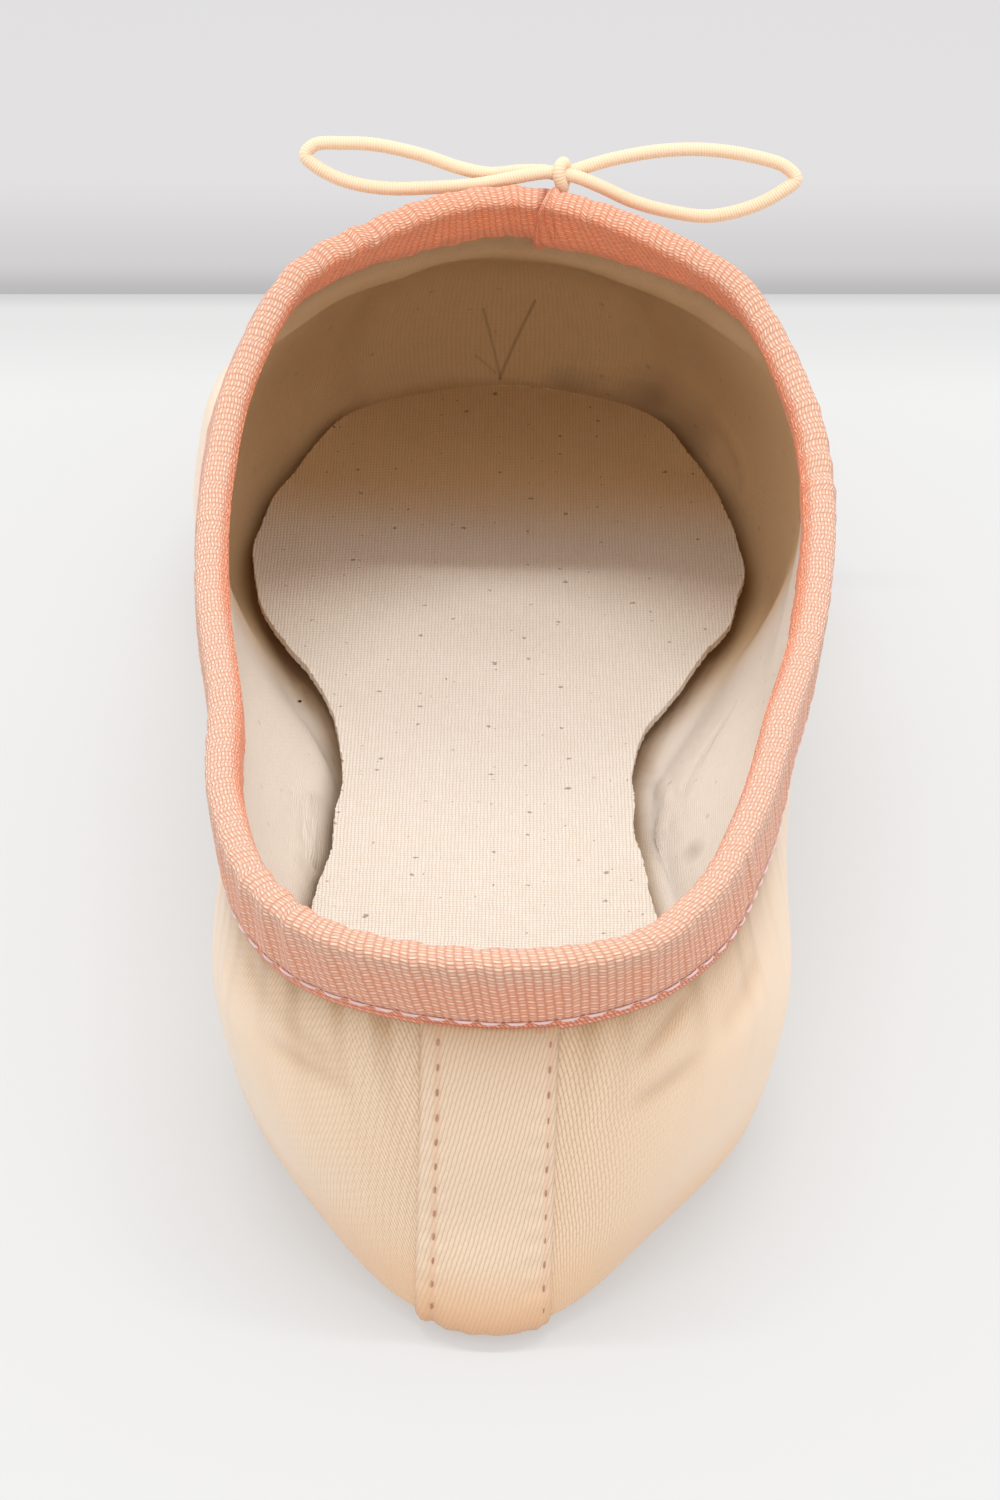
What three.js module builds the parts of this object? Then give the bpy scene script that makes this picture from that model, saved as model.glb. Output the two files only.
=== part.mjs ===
// Pointe shoe: a hollow satin shell over a last, on a thin leather sole, with a folded collar tape,
// a strip down the heel, a canvas sock and a small elastic bow at the throat.
// Millimetres. The toe points along +Y, +X is the wearer's right, +Z is up, and the sole stands on z = 0.

import * as THREE from "three";
import { mergeVertices } from "three/addons/utils/BufferGeometryUtils.js";

// Driving dimensions of the shoe.
const LENGTH = 209.5;
const HEEL_HEIGHT = 45.1;
const THROAT_HEIGHT = 60.6;
const BALL_WIDTH = 79.6;
const WALL = 1.9;
const COLLAR_WALL = 1.4;
const BOX_WALL = 3.0;
const GAP = 0.3;

// The sole and what lies on it, measured up from the sole's underside.
const SOLE_THICKNESS = 3.0;
const ARCH_RISE = 2.4;
const TOE_SPRING = 1.6;
const SATIN_LIFT = 1.1;
const FEATHER_LIFT = 3.7;
const SOCK_UNDERSIDE = 3.4;
const SOCK_THICKNESS = 2.0;

// The tape over the collar edge, the heel strip and the bow's cord.
const TAPE_THICKNESS = 0.7;
const TAPE_HEIGHT = 8.0;
const STRIP_WIDTH = 13.6;
const STRIP_THICKNESS = 0.9;
const CORD_DIAMETER = 1.7;

// How finely the curved forms are divided.
const AROUND = 84;
const UP_OUTSIDE = 14;
const UP_INSIDE = 8;
const TAPE_STEPS = 3;

// Half widths of the upper's outer face, in hundredths of half the ball's width. A row is a station, a share
// of the way from heel to toe, and a column is a line that runs round the shoe: the sole's seam, the feather
// edge, the side's widest part, the shoulder, the vamp line, the tape's lower edge and the collar's edge.
const WIDTHS = [
  { at: 0.05, seam: 25.1, feather: 35.8, side: 49.2, shoulder: 54.8, vamp: 55.3, tape: 53.8, collar: 53.5 },
  { at: 0.15, seam: 42.7, feather: 65.3, side: 75.1, shoulder: 73.9, vamp: 71.4, tape: 70.0, collar: 70.0 },
  { at: 0.30, seam: 38.9, feather: 62.8, side: 77.9, shoulder: 79.4, vamp: 78.4, tape: 78.6, collar: 79.4 },
  { at: 0.45, seam: 29.6, feather: 54.8, side: 79.4, shoulder: 85.4, vamp: 86.9, tape: 87.0, collar: 88.6 },
  { at: 0.60, seam: 40.2, feather: 75.4, side: 93.7, shoulder: 95.5, vamp: 94.5, tape: 92.9, collar: 91.1 },
  { at: 0.72, seam: 54.8, feather: 93.5, side: 100.0, shoulder: 96.0, vamp: 93.0, tape: 91.3, collar: 86.2 },
  { at: 0.84, seam: 59.8, feather: 84.4, side: 89.4, shoulder: 78.9, vamp: 66.8, tape: 77.4, collar: 70.1 },
  { at: 0.94, seam: 44.7, feather: 63.3, side: 68.8, shoulder: 54.3, vamp: 39.2, tape: 41.7, collar: 34.7 },
];

// Heights of the same lines, in mm. The seam and the feather edge follow the sole instead.
const HEIGHTS = [
  { at: 0.00, side: 15.0, shoulder: 26.0, vamp: 31.4, tape: 36.6, collar: HEEL_HEIGHT },
  { at: 0.05, side: 16.0, shoulder: 26.0, vamp: 31.4, tape: 36.4, collar: 45.2 },
  { at: 0.15, side: 18.0, shoulder: 26.0, vamp: 31.2, tape: 35.8, collar: 44.0 },
  { at: 0.30, side: 17.5, shoulder: 25.0, vamp: 30.0, tape: 33.6, collar: 41.6 },
  { at: 0.45, side: 17.5, shoulder: 25.0, vamp: 29.6, tape: 32.6, collar: 40.4 },
  { at: 0.60, side: 18.0, shoulder: 27.0, vamp: 32.2, tape: 35.2, collar: 42.6 },
  { at: 0.72, side: 18.0, shoulder: 30.0, vamp: 37.0, tape: 40.6, collar: 47.8 },
  { at: 0.84, side: 15.6, shoulder: 28.4, vamp: 38.4, tape: 48.2, collar: 55.2 },
  { at: 0.94, side: 13.2, shoulder: 26.6, vamp: 36.4, tape: 52.6, collar: 59.6 },
  { at: 1.00, side: 12.0, shoulder: 24.4, vamp: 35.0, tape: 53.6, collar: THROAT_HEIGHT },
];

// Where each line starts at the heel and ends at the toe, and how round it is at both ends.
const LINES = {
  seam: { heel: 6.0, toe: 188.0, heelRadius: 10, toeRadius: 24 },
  feather: { heel: -0.3, toe: 207.3, heelRadius: 10, toeRadius: 56 },
  side: { heel: 0.8, toe: LENGTH, heelRadius: 16, toeRadius: 60 },
  shoulder: { heel: 1.7, toe: 207.8, heelRadius: 24, toeRadius: 44 },
  vamp: { heel: 2.4, toe: 190.5, heelRadius: 30, toeRadius: 22 },
  tape: { heel: 2.9, toe: 152.6, heelRadius: 32, toeRadius: 17 },
  collar: { heel: 2.0, toe: 148.4, heelRadius: 40, toeRadius: 17 },
};

// The shoe's slight curve: how far the lines stand to the right of the straight middle, in mm.
const CURVE = [
  { at: 0.00, low: 0.2, high: -0.4 },
  { at: 0.05, low: 0.1, high: -1.5 },
  { at: 0.15, low: 1.2, high: -1.1 },
  { at: 0.30, low: 1.2, high: 0.6 },
  { at: 0.45, low: 0.2, high: 1.7 },
  { at: 0.60, low: 0.5, high: 2.1 },
  { at: 0.84, low: 0.4, high: 1.4 },
  { at: 1.00, low: 0.6, high: 0.6 },
];

// Half widths of the canvas sock, a row for each distance from the heel.
const SOCK = [
  { y: 12, half: 12.2 },
  { y: 32, half: 20.6 },
  { y: 68, half: 20.0 },
  { y: 84, half: 18.0 },
  { y: 98, half: 17.6 },
  { y: 112, half: 19.4 },
  { y: 124, half: 23.6 },
  { y: 140, half: 30.2 },
  { y: 155, half: 32.4 },
  { y: 170, half: 30.4 },
  { y: 185, half: 25.6 },
  { y: 197, half: 16.8 },
];
const SOCK_CURVE = [
  { y: 6, middle: 0.4 },
  { y: 32, middle: 0.6 },
  { y: 68, middle: -1.0 },
  { y: 98, middle: -1.0 },
  { y: 124, middle: 0.0 },
  { y: 156, middle: 0.0 },
  { y: 185, middle: 0.4 },
  { y: 203, middle: 1.4 },
];
const SOCK_ENDS = { heel: 6.5, toe: 202.0, heelRadius: 11, toeRadius: 22 };
const SOCK_BEVEL = 1.6;

// A value from a table's column at a place, on a smooth curve that never overshoots its rows.
function tableValue(rows, place, column, at) {
  const last = rows.length - 1;
  if (at <= rows[0][place]) return rows[0][column];
  if (at >= rows[last][place]) return rows[last][column];
  let i = 0;
  while (at > rows[i + 1][place]) i += 1;
  const step = (k) => rows[k + 1][place] - rows[k][place];
  const slope = (k) => (rows[k + 1][column] - rows[k][column]) / step(k);
  const tangent = (k) => {
    if (k === 0 || k === last) return slope(Math.min(k, last - 1));
    const before = slope(k - 1);
    const after = slope(k);
    return before * after <= 0 ? 0 : (2 * before * after) / (before + after);
  };
  const h = step(i);
  const t = (at - rows[i][place]) / h;
  const t2 = t * t;
  const t3 = t2 * t;
  return (2 * t3 - 3 * t2 + 1) * rows[i][column] + (t3 - 2 * t2 + t) * h * tangent(i)
    + (3 * t2 - 2 * t3) * rows[i + 1][column] + (t3 - t2) * h * tangent(i + 1);
}

const smooth = (low, high, value) => THREE.MathUtils.smoothstep(value, low, high);

// The sole's underside: flat at the heel and under the ball, lifted at the arch and a little at the toe.
const HEEL_FLAT_END = 46;
const ARCH_TOP = 84;
const BALL_FLAT_START = 122;
const BALL_FLAT_END = 172;
function underside(y) {
  const arch = smooth(HEEL_FLAT_END, ARCH_TOP, y) * (1 - smooth(ARCH_TOP, BALL_FLAT_START, y));
  const spring = smooth(BALL_FLAT_END, LENGTH, y);
  return ARCH_RISE * arch + TOE_SPRING * spring;
}

// How strongly the lines above the box turn back from the toe to the throat.
const TURN_BACK = 2.2;
function lineY(line, at) {
  return line.heel + (LENGTH - line.heel) * at - (LENGTH - line.toe) * at ** TURN_BACK;
}

const halfWidth = (hundredths) => (hundredths / 100) * (BALL_WIDTH / 2);

// The full table of one line, with the round ends' values that the end radii give.
function lineRows(name) {
  const line = LINES[name];
  const heelRate = LENGTH - line.heel;
  const toeRate = heelRate - (LENGTH - line.toe) * TURN_BACK;
  const round = (at) => 2 * Math.sqrt(at * (1 - at));
  return [
    { at: 0, fullness: Math.sqrt((line.heelRadius * heelRate) / 2) },
    ...WIDTHS.map((row) => ({ at: row.at, fullness: halfWidth(row[name]) / round(row.at) })),
    { at: 1, fullness: Math.sqrt((line.toeRadius * toeRate) / 2) },
  ];
}
const ROWS = Object.fromEntries(Object.keys(LINES).map((name) => [name, lineRows(name)]));

// A point of a line. turn goes once round the shoe: 0 at the heel, 0.5 at the toe, right side first.
function linePoint(name, turn) {
  const at = (1 - Math.cos(2 * Math.PI * turn)) / 2;
  const y = lineY(LINES[name], at);
  const half = tableValue(ROWS[name], "at", "fullness", at) * Math.sin(2 * Math.PI * turn);
  const low = tableValue(CURVE, "at", "low", at);
  const high = tableValue(CURVE, "at", "high", at);
  const follows = name === "seam" || name === "feather";
  const above = name === "seam" ? SATIN_LIFT : FEATHER_LIFT;
  const z = follows ? underside(y) + above : tableValue(HEIGHTS, "at", name, at);
  const lean = follows ? 0 : Math.min(1, z / HEEL_HEIGHT) ** 2;
  return new THREE.Vector3(half + low + (high - low) * lean, y, z);
}

// The margin turned under the shoe lies flat between the seam and the feather edge.
const MARGIN_SHARE = 0.76;
function marginPoint(turn) {
  const seam = linePoint("seam", turn);
  const point = seam.clone().lerp(linePoint("feather", turn), MARGIN_SHARE);
  point.z = underside(point.y) + SATIN_LIFT;
  return point;
}

// One rib of the upper's outer face, from the sole's seam up to the collar's edge.
function rib(turn) {
  const points = [
    linePoint("seam", turn),
    marginPoint(turn),
    ...["feather", "side", "shoulder", "vamp", "tape", "collar"].map((name) => linePoint(name, turn)),
  ];
  return new THREE.CatmullRomCurve3(points, false, "centripetal");
}

// Each rib is worked out once and kept.
const RIBS = new Map();
function ribAt(turn) {
  const key = turn.toFixed(6);
  if (!RIBS.has(key)) RIBS.set(key, rib(turn));
  return RIBS.get(key);
}
const ribLength = (turn) => ribAt(turn).getLength();

// A point of the outer face: turn round the shoe, rise from 0 at the seam to 1 at the collar's edge.
const outerPoint = (turn, rise) => ribAt(turn).getPointAt(rise);

// The outward direction of the outer face.
const FINE = 0.002;
function outward(turn, rise) {
  const low = Math.max(0, rise - FINE);
  const high = Math.min(1, rise + FINE);
  const up = outerPoint(turn, high).sub(outerPoint(turn, low));
  const round = outerPoint(turn + FINE, rise).sub(outerPoint(turn - FINE, rise));
  return round.cross(up).normalize();
}

// A point at a distance outside the outer face; less than 0 is inside the wall.
function offsetPoint(turn, rise, distance) {
  return outerPoint(turn, rise).addScaledVector(outward(turn, rise), distance);
}

// The wall is thicker in the stiff box round the toes, and thin again at the collar.
const BOX_ROUND = { from: 0.3, full: 0.46 };
const BOX_RISE = { from: 0.05, full: 0.22, leaves: 0.62, ends: 0.86 };
const COLLAR_RISE = { from: 0.6, full: 0.8 };
function wallAt(turn, rise) {
  const fromHeel = Math.min(Math.abs(turn), 1 - Math.abs(turn));
  const low = smooth(BOX_RISE.from, BOX_RISE.full, rise);
  const high = 1 - smooth(BOX_RISE.leaves, BOX_RISE.ends, rise);
  const box = smooth(BOX_ROUND.from, BOX_ROUND.full, fromHeel) * low * high;
  const collar = smooth(COLLAR_RISE.from, COLLAR_RISE.full, rise);
  return WALL + (BOX_WALL - WALL) * box - (WALL - COLLAR_WALL) * collar;
}

// A closed ring of sections: each section is a closed loop of points, and the last joins the first.
function ringGeometry(sections) {
  const count = sections[0].length;
  const positions = sections.flat().flatMap((p) => [p.x, p.y, p.z]);
  const index = [];
  sections.forEach((section, i) => {
    const next = (i + 1) % sections.length;
    section.forEach((point, j) => {
      const k = (j + 1) % count;
      index.push(i * count + j, next * count + j, next * count + k);
      index.push(i * count + j, next * count + k, i * count + k);
    });
  });
  return solidGeometry(positions, index);
}

// A row of sections that is closed at both ends. A section goes along one face and back along the other.
function bandGeometry(sections) {
  const count = sections[0].length;
  const last = (sections.length - 1) * count;
  const positions = sections.flat().flatMap((p) => [p.x, p.y, p.z]);
  const index = [];
  const quad = (a, b, c, d) => index.push(a, b, c, a, c, d);
  for (let start = 0; start < last; start += count) {
    for (let j = 0; j < count; j += 1) {
      const k = (j + 1) % count;
      quad(start + j, start + count + j, start + count + k, start + k);
    }
  }
  for (let j = 0; j + 1 < count / 2; j += 1) {
    const back = count - 1 - j;
    quad(j, j + 1, back - 1, back);
    quad(last + back, last + back - 1, last + j + 1, last + j);
  }
  return solidGeometry(positions, index);
}

// A buffer geometry with its faces turned outwards.
function solidGeometry(positions, index) {
  let volume = 0;
  const corner = (n) => new THREE.Vector3().fromArray(positions, 3 * n);
  for (let n = 0; n < index.length; n += 3) {
    volume += corner(index[n]).dot(corner(index[n + 1]).cross(corner(index[n + 2])));
  }
  if (volume < 0) {
    for (let n = 0; n < index.length; n += 3) {
      [index[n + 1], index[n + 2]] = [index[n + 2], index[n + 1]];
    }
  }
  const geometry = new THREE.BufferGeometry();
  geometry.setAttribute("position", new THREE.Float32BufferAttribute(positions, 3));
  geometry.setIndex(index);
  return geometry;
}

const share = (count, k) => k / count;

// The rises at which a rib is divided: even steps up to the tape's lower edge, then the tape's own steps.
function riseSteps(turn, below) {
  const start = 1 - TAPE_HEIGHT / ribLength(turn);
  const steps = [];
  for (let j = 0; j < below; j += 1) steps.push(start * share(below, j));
  for (let j = 0; j <= TAPE_STEPS; j += 1) steps.push(start + (1 - start) * share(TAPE_STEPS, j));
  return steps;
}

// The upper: the outer face up to the collar, over its edge and down the inner face.
function upperGeometry() {
  const sections = [];
  for (let i = 0; i < AROUND; i += 1) {
    const turn = share(AROUND, i);
    const outside = riseSteps(turn, UP_OUTSIDE).map((rise) => offsetPoint(turn, rise, 0));
    const inside = riseSteps(turn, UP_INSIDE).map((rise) => offsetPoint(turn, rise, -wallAt(turn, rise)));
    sections.push([...outside, ...inside.reverse()]);
  }
  return ringGeometry(sections);
}

// The tape: folded over the collar's edge, with a clear gap to the wall on both sides.
const CROWN_SPREAD = 0.1;
function tapeGeometry() {
  const near = GAP;
  const far = GAP + TAPE_THICKNESS;
  const sections = [];
  for (let i = 0; i < AROUND; i += 1) {
    const turn = share(AROUND, i);
    const steps = riseSteps(turn, 0);
    const outside = (distance) => steps.map((rise) => offsetPoint(turn, rise, distance));
    const inside = (distance) => steps.map((rise) => {
      return offsetPoint(turn, rise, -wallAt(turn, rise) - distance);
    });
    const up = outerPoint(turn, 1).sub(outerPoint(turn, 1 - FINE)).normalize();
    const crown = (distance, rise) => offsetPoint(turn, 1, distance).addScaledVector(up, rise);
    sections.push([
      ...outside(far),
      crown(CROWN_SPREAD, far),
      crown(-COLLAR_WALL - CROWN_SPREAD, far),
      ...inside(far).reverse(),
      ...inside(near),
      crown(-COLLAR_WALL, near),
      crown(0, near),
      ...outside(near).reverse(),
    ]);
  }
  return ringGeometry(sections);
}

// A flat piece that follows the sole between two heights. A bevel draws in the outline of its underside.
function plateGeometry(outline, low, high, bevel) {
  const count = outline.length;
  const half = count / 2;
  const lower = outline.map((p, i) => {
    const along = outline[(i + 1) % count].clone().sub(outline[(i + count - 1) % count]);
    return new THREE.Vector3(-along.y, along.x, 0).normalize().multiplyScalar(bevel).add(p);
  });
  const raise = (above) => (p) => [p.x, p.y, underside(p.y) + above];
  const positions = [...lower.flatMap(raise(low)), ...outline.flatMap(raise(high))];
  const index = [];
  for (let i = 0; i < count; i += 1) {
    const k = (i + 1) % count;
    index.push(i, k, count + k, i, count + k, count + i);
  }
  const strip = (a, b, c) => index.push(a, c, b, count + a, count + b, count + c);
  for (let i = 0; i < half; i += 1) {
    const left = (count - i) % count;
    const nextLeft = count - i - 1;
    if (i > 0) strip(left, i, i + 1);
    if (i + 1 < half) strip(left, i + 1, nextLeft);
  }
  return solidGeometry(positions, index);
}

// The outsole lies in the opening that the satin leaves under the shoe.
function outsoleGeometry() {
  const outline = [];
  for (let i = 0; i < AROUND; i += 1) {
    const turn = share(AROUND, i);
    const seam = linePoint("seam", turn);
    const along = linePoint("seam", turn + FINE).sub(linePoint("seam", turn - FINE));
    const inward = new THREE.Vector3(-along.y, along.x, 0).normalize();
    outline.push(seam.addScaledVector(inward, GAP));
  }
  return plateGeometry(outline, 0, SOLE_THICKNESS, 0);
}

// The canvas sock covers the bottom of the shoe inside, from the heel into the box.
function sockRows() {
  const length = SOCK_ENDS.toe - SOCK_ENDS.heel;
  const rows = SOCK.map((row) => {
    const at = (row.y - SOCK_ENDS.heel) / length;
    return { at, fullness: row.half / (2 * Math.sqrt(at * (1 - at))) };
  });
  return [
    { at: 0, fullness: Math.sqrt((SOCK_ENDS.heelRadius * length) / 2) },
    ...rows,
    { at: 1, fullness: Math.sqrt((SOCK_ENDS.toeRadius * length) / 2) },
  ];
}

function sockGeometry() {
  const rows = sockRows();
  const outline = [];
  for (let i = 0; i < AROUND; i += 1) {
    const turn = 2 * Math.PI * share(AROUND, i);
    const at = (1 - Math.cos(turn)) / 2;
    const half = tableValue(rows, "at", "fullness", at) * Math.sin(turn);
    const y = SOCK_ENDS.heel + (SOCK_ENDS.toe - SOCK_ENDS.heel) * at;
    outline.push(new THREE.Vector3(half + tableValue(SOCK_CURVE, "y", "middle", y), y, 0));
  }
  return plateGeometry(outline, SOCK_UNDERSIDE, SOCK_UNDERSIDE + SOCK_THICKNESS, SOCK_BEVEL);
}

// The strip down the back of the heel, from the tape's lower edge to where the satin turns under.
const STRIP_TOP_GAP = 0.4;
const STRIP_FOOT_STEP = 2;
const STRIP_COLUMNS = 6;
const STRIP_MIDDLE = -0.4;
function heelStripGeometry() {
  const rate = 2 * Math.PI * ROWS.side[0].fullness;
  const riseAt = (turn, step) => {
    const topGap = step === UP_OUTSIDE ? STRIP_TOP_GAP / ribLength(turn) : 0;
    return riseSteps(turn, UP_OUTSIDE)[step] - topGap;
  };
  // The turn at which the outer face stands at x on this step, found in a few tries.
  const turnAt = (x, step) => {
    let turn = x / rate;
    for (let tries = 0; tries < 4; tries += 1) turn += (x - outerPoint(turn, riseAt(turn, step)).x) / rate;
    return turn;
  };
  const sections = [];
  for (let step = STRIP_FOOT_STEP; step <= UP_OUTSIDE; step += 1) {
    const turns = [];
    for (let j = 0; j <= STRIP_COLUMNS; j += 1) {
      turns.push(turnAt(STRIP_MIDDLE + STRIP_WIDTH * (share(STRIP_COLUMNS, j) - 0.5), step));
    }
    const row = (distance) => turns.map((turn) => offsetPoint(turn, riseAt(turn, step), distance));
    sections.push([...row(GAP + STRIP_THICKNESS), ...row(GAP).reverse()]);
  }
  return bandGeometry(sections);
}

// The bow: two loops of the drawstring's elastic cord and the knot between them, on the throat's tape.
const KNOT = { x: 6.6, y: 150.4, z: 62.3, height: 5.0, width: 3.5 };
const LEFT_LOOP = [
  { x: 4.4, y: 150.1, z: 62.6 },
  { x: 1.2, y: 150.2, z: 62.1 },
  { x: -3.5, y: 150.4, z: 60.9 },
  { x: -9.2, y: 151.0, z: 60.0 },
  { x: -15.5, y: 151.8, z: 59.4 },
  { x: -20.2, y: 152.3, z: 60.0 },
  { x: -23.8, y: 152.9, z: 61.5 },
  { x: -25.3, y: 153.6, z: 62.8 },
  { x: -24.2, y: 154.3, z: 63.9 },
  { x: -20.4, y: 154.4, z: 64.2 },
  { x: -16.5, y: 154.1, z: 64.2 },
  { x: -10.8, y: 153.6, z: 63.2 },
  { x: -6.0, y: 153.1, z: 61.8 },
  { x: -2.3, y: 152.7, z: 61.3 },
  { x: 1.4, y: 152.3, z: 61.9 },
  { x: 4.4, y: 152.0, z: 62.4 },
];
const RIGHT_LOOP = [
  { x: 8.8, y: 149.9, z: 62.2 },
  { x: 11.7, y: 150.1, z: 61.0 },
  { x: 15.6, y: 150.5, z: 59.0 },
  { x: 20.4, y: 151.0, z: 57.5 },
  { x: 25.2, y: 151.5, z: 56.8 },
  { x: 30.4, y: 152.1, z: 57.9 },
  { x: 34.0, y: 152.7, z: 59.7 },
  { x: 35.9, y: 153.5, z: 61.2 },
  { x: 34.6, y: 154.2, z: 62.5 },
  { x: 30.6, y: 154.2, z: 63.8 },
  { x: 24.8, y: 153.9, z: 64.7 },
  { x: 19.1, y: 153.3, z: 64.7 },
  { x: 13.1, y: 152.5, z: 63.8 },
  { x: 8.8, y: 151.8, z: 62.6 },
];
const CORD_SIDES = 8;
const CORD_STEPS = 30;

function cordGeometry(route) {
  const circle = new THREE.Shape();
  for (let i = 0; i < CORD_SIDES; i += 1) {
    const angle = 2 * Math.PI * share(CORD_SIDES, i);
    const at = [Math.cos(angle), Math.sin(angle)].map((value) => (value * CORD_DIAMETER) / 2);
    if (i === 0) circle.moveTo(...at);
    else circle.lineTo(...at);
  }
  const points = route.map((p) => new THREE.Vector3(p.x, p.y, p.z));
  const path = new THREE.CatmullRomCurve3(points, false, "centripetal");
  const tube = new THREE.ExtrudeGeometry(circle, { steps: CORD_STEPS, extrudePath: path, curveSegments: 1 });
  tube.deleteAttribute("normal");
  tube.deleteAttribute("uv");
  return mergeVertices(tube, 1e-4);
}

// The knot's outline from its bottom to its top, in shares of its width and height.
const KNOT_PROFILE = [
  { radius: 0, up: -0.5 },
  { radius: 0.26, up: -0.48 },
  { radius: 0.44, up: -0.34 },
  { radius: 0.5, up: -0.14 },
  { radius: 0.46, up: 0.02 },
  { radius: 0.5, up: 0.18 },
  { radius: 0.43, up: 0.36 },
  { radius: 0.25, up: 0.48 },
  { radius: 0, up: 0.5 },
];
const KNOT_SIDES = 12;

function knotGeometry() {
  const profile = KNOT_PROFILE.map((p) => new THREE.Vector2(p.radius * KNOT.width, p.up * KNOT.height));
  const turned = new THREE.LatheGeometry(profile, KNOT_SIDES);
  turned.deleteAttribute("normal");
  turned.deleteAttribute("uv");
  turned.rotateX(Math.PI / 2);
  turned.translate(KNOT.x, KNOT.y, KNOT.z);
  return mergeVertices(turned, 1e-4);
}

const MATERIALS = {
  satin: { color: 0xe9c9ab, roughness: 0.42, metalness: 0 },
  leather: { color: 0xc9b39a, roughness: 0.78, metalness: 0 },
  canvas: { color: 0xe6dcc8, roughness: 0.92, metalness: 0 },
  tape: { color: 0xd9907a, roughness: 0.8, metalness: 0 },
  elastic: { color: 0xe9dccb, roughness: 0.7, metalness: 0 },
};

const shoe = new THREE.Group();
function addPiece(name, geometry, material) {
  const mesh = new THREE.Mesh(geometry, new THREE.MeshStandardMaterial(MATERIALS[material]));
  mesh.name = name;
  shoe.add(mesh);
}

addPiece("outsole", outsoleGeometry(), "leather");
addPiece("upper", upperGeometry(), "satin");
addPiece("insole", sockGeometry(), "canvas");
addPiece("binding", tapeGeometry(), "tape");
addPiece("heel_strip", heelStripGeometry(), "satin");
addPiece("bow_left_loop", cordGeometry(LEFT_LOOP), "elastic");
addPiece("bow_right_loop", cordGeometry(RIGHT_LOOP), "elastic");
addPiece("bow_knot", knotGeometry(), "elastic");

// The origin is on the floor, under the middle of the shoe without its bow.
const BOW = ["bow_left_loop", "bow_right_loop", "bow_knot"];
const body = new THREE.Box3();
shoe.children.filter((mesh) => !BOW.includes(mesh.name)).forEach((mesh) => body.expandByObject(mesh));
const middle = body.getCenter(new THREE.Vector3());
shoe.position.set(-middle.x, -middle.y, 0);

export default shoe;
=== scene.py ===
"""Pointe shoe, dressed: satin upper, canvas lining and sock, folded collar tape, heel strip, sole and elastic bow."""

import math

import bpy
import numpy as np
from bpy.props import FloatProperty, FloatVectorProperty, PointerProperty
from mathutils import Matrix, Vector


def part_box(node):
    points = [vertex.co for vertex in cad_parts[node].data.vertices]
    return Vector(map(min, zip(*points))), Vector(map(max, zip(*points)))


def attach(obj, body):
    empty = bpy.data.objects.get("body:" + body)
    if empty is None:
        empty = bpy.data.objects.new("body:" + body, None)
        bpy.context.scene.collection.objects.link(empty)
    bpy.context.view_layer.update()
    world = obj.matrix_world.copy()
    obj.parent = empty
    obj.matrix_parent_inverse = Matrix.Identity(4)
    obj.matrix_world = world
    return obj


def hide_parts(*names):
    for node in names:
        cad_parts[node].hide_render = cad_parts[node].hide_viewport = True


bl_info = {
    "name": "Pointe shoe",
    "version": (1, 0, 0),
    "blender": (4, 5, 0),
    "location": "3D View > Sidebar > Pointe shoe",
    "description": "Builds a pointe shoe with its tape, bow, strip, lining, sock and sole",
    "category": "Add Mesh",
}

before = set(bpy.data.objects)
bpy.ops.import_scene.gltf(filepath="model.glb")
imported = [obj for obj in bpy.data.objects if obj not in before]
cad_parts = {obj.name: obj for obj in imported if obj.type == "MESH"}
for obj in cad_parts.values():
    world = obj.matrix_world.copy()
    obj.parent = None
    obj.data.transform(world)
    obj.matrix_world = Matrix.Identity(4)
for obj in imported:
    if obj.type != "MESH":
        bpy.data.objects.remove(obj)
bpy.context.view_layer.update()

# ---- The shoe's sizes, in millimetres, with the heel at y = 0, as in the part's source ----

MM = 0.001
LENGTH = 209.5
HEEL_HEIGHT = 45.1
THROAT_HEIGHT = 60.6
BALL_WIDTH = 79.6
WALL = 1.9
COLLAR_WALL = 1.4
BOX_WALL = 3.0
GAP = 0.3
SOLE_THICKNESS = 3.0
ARCH_RISE = 2.4
TOE_SPRING = 1.6
SATIN_LIFT = 1.1
FEATHER_LIFT = 3.7
SOCK_UNDERSIDE = 3.4
SOCK_THICKNESS = 2.0
TAPE_HEIGHT = 8.0
STRIP_WIDTH = 13.6
STRIP_MIDDLE = -0.4
CORD_DIAMETER = 1.7
KNOT = Vector((6.6, 150.4, 62.3))

# Half widths of the upper's lines at each station, in hundredths of half the ball's width.
WIDTH_STATIONS = [0.05, 0.15, 0.30, 0.45, 0.60, 0.72, 0.84, 0.94]
WIDTHS = {
    "seam": [25.1, 42.7, 38.9, 29.6, 40.2, 54.8, 59.8, 44.7],
    "feather": [35.8, 65.3, 62.8, 54.8, 75.4, 93.5, 84.4, 63.3],
    "side": [49.2, 75.1, 77.9, 79.4, 93.7, 100.0, 89.4, 68.8],
    "shoulder": [54.8, 73.9, 79.4, 85.4, 95.5, 96.0, 78.9, 54.3],
    "vamp": [55.3, 71.4, 78.4, 86.9, 94.5, 93.0, 66.8, 39.2],
    "tape": [53.8, 70.0, 78.6, 87.0, 92.9, 91.3, 77.4, 41.7],
    "collar": [53.5, 70.0, 79.4, 88.6, 91.1, 86.2, 70.1, 34.7],
}
HEIGHT_STATIONS = [0.00, 0.05, 0.15, 0.30, 0.45, 0.60, 0.72, 0.84, 0.94, 1.00]
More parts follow.
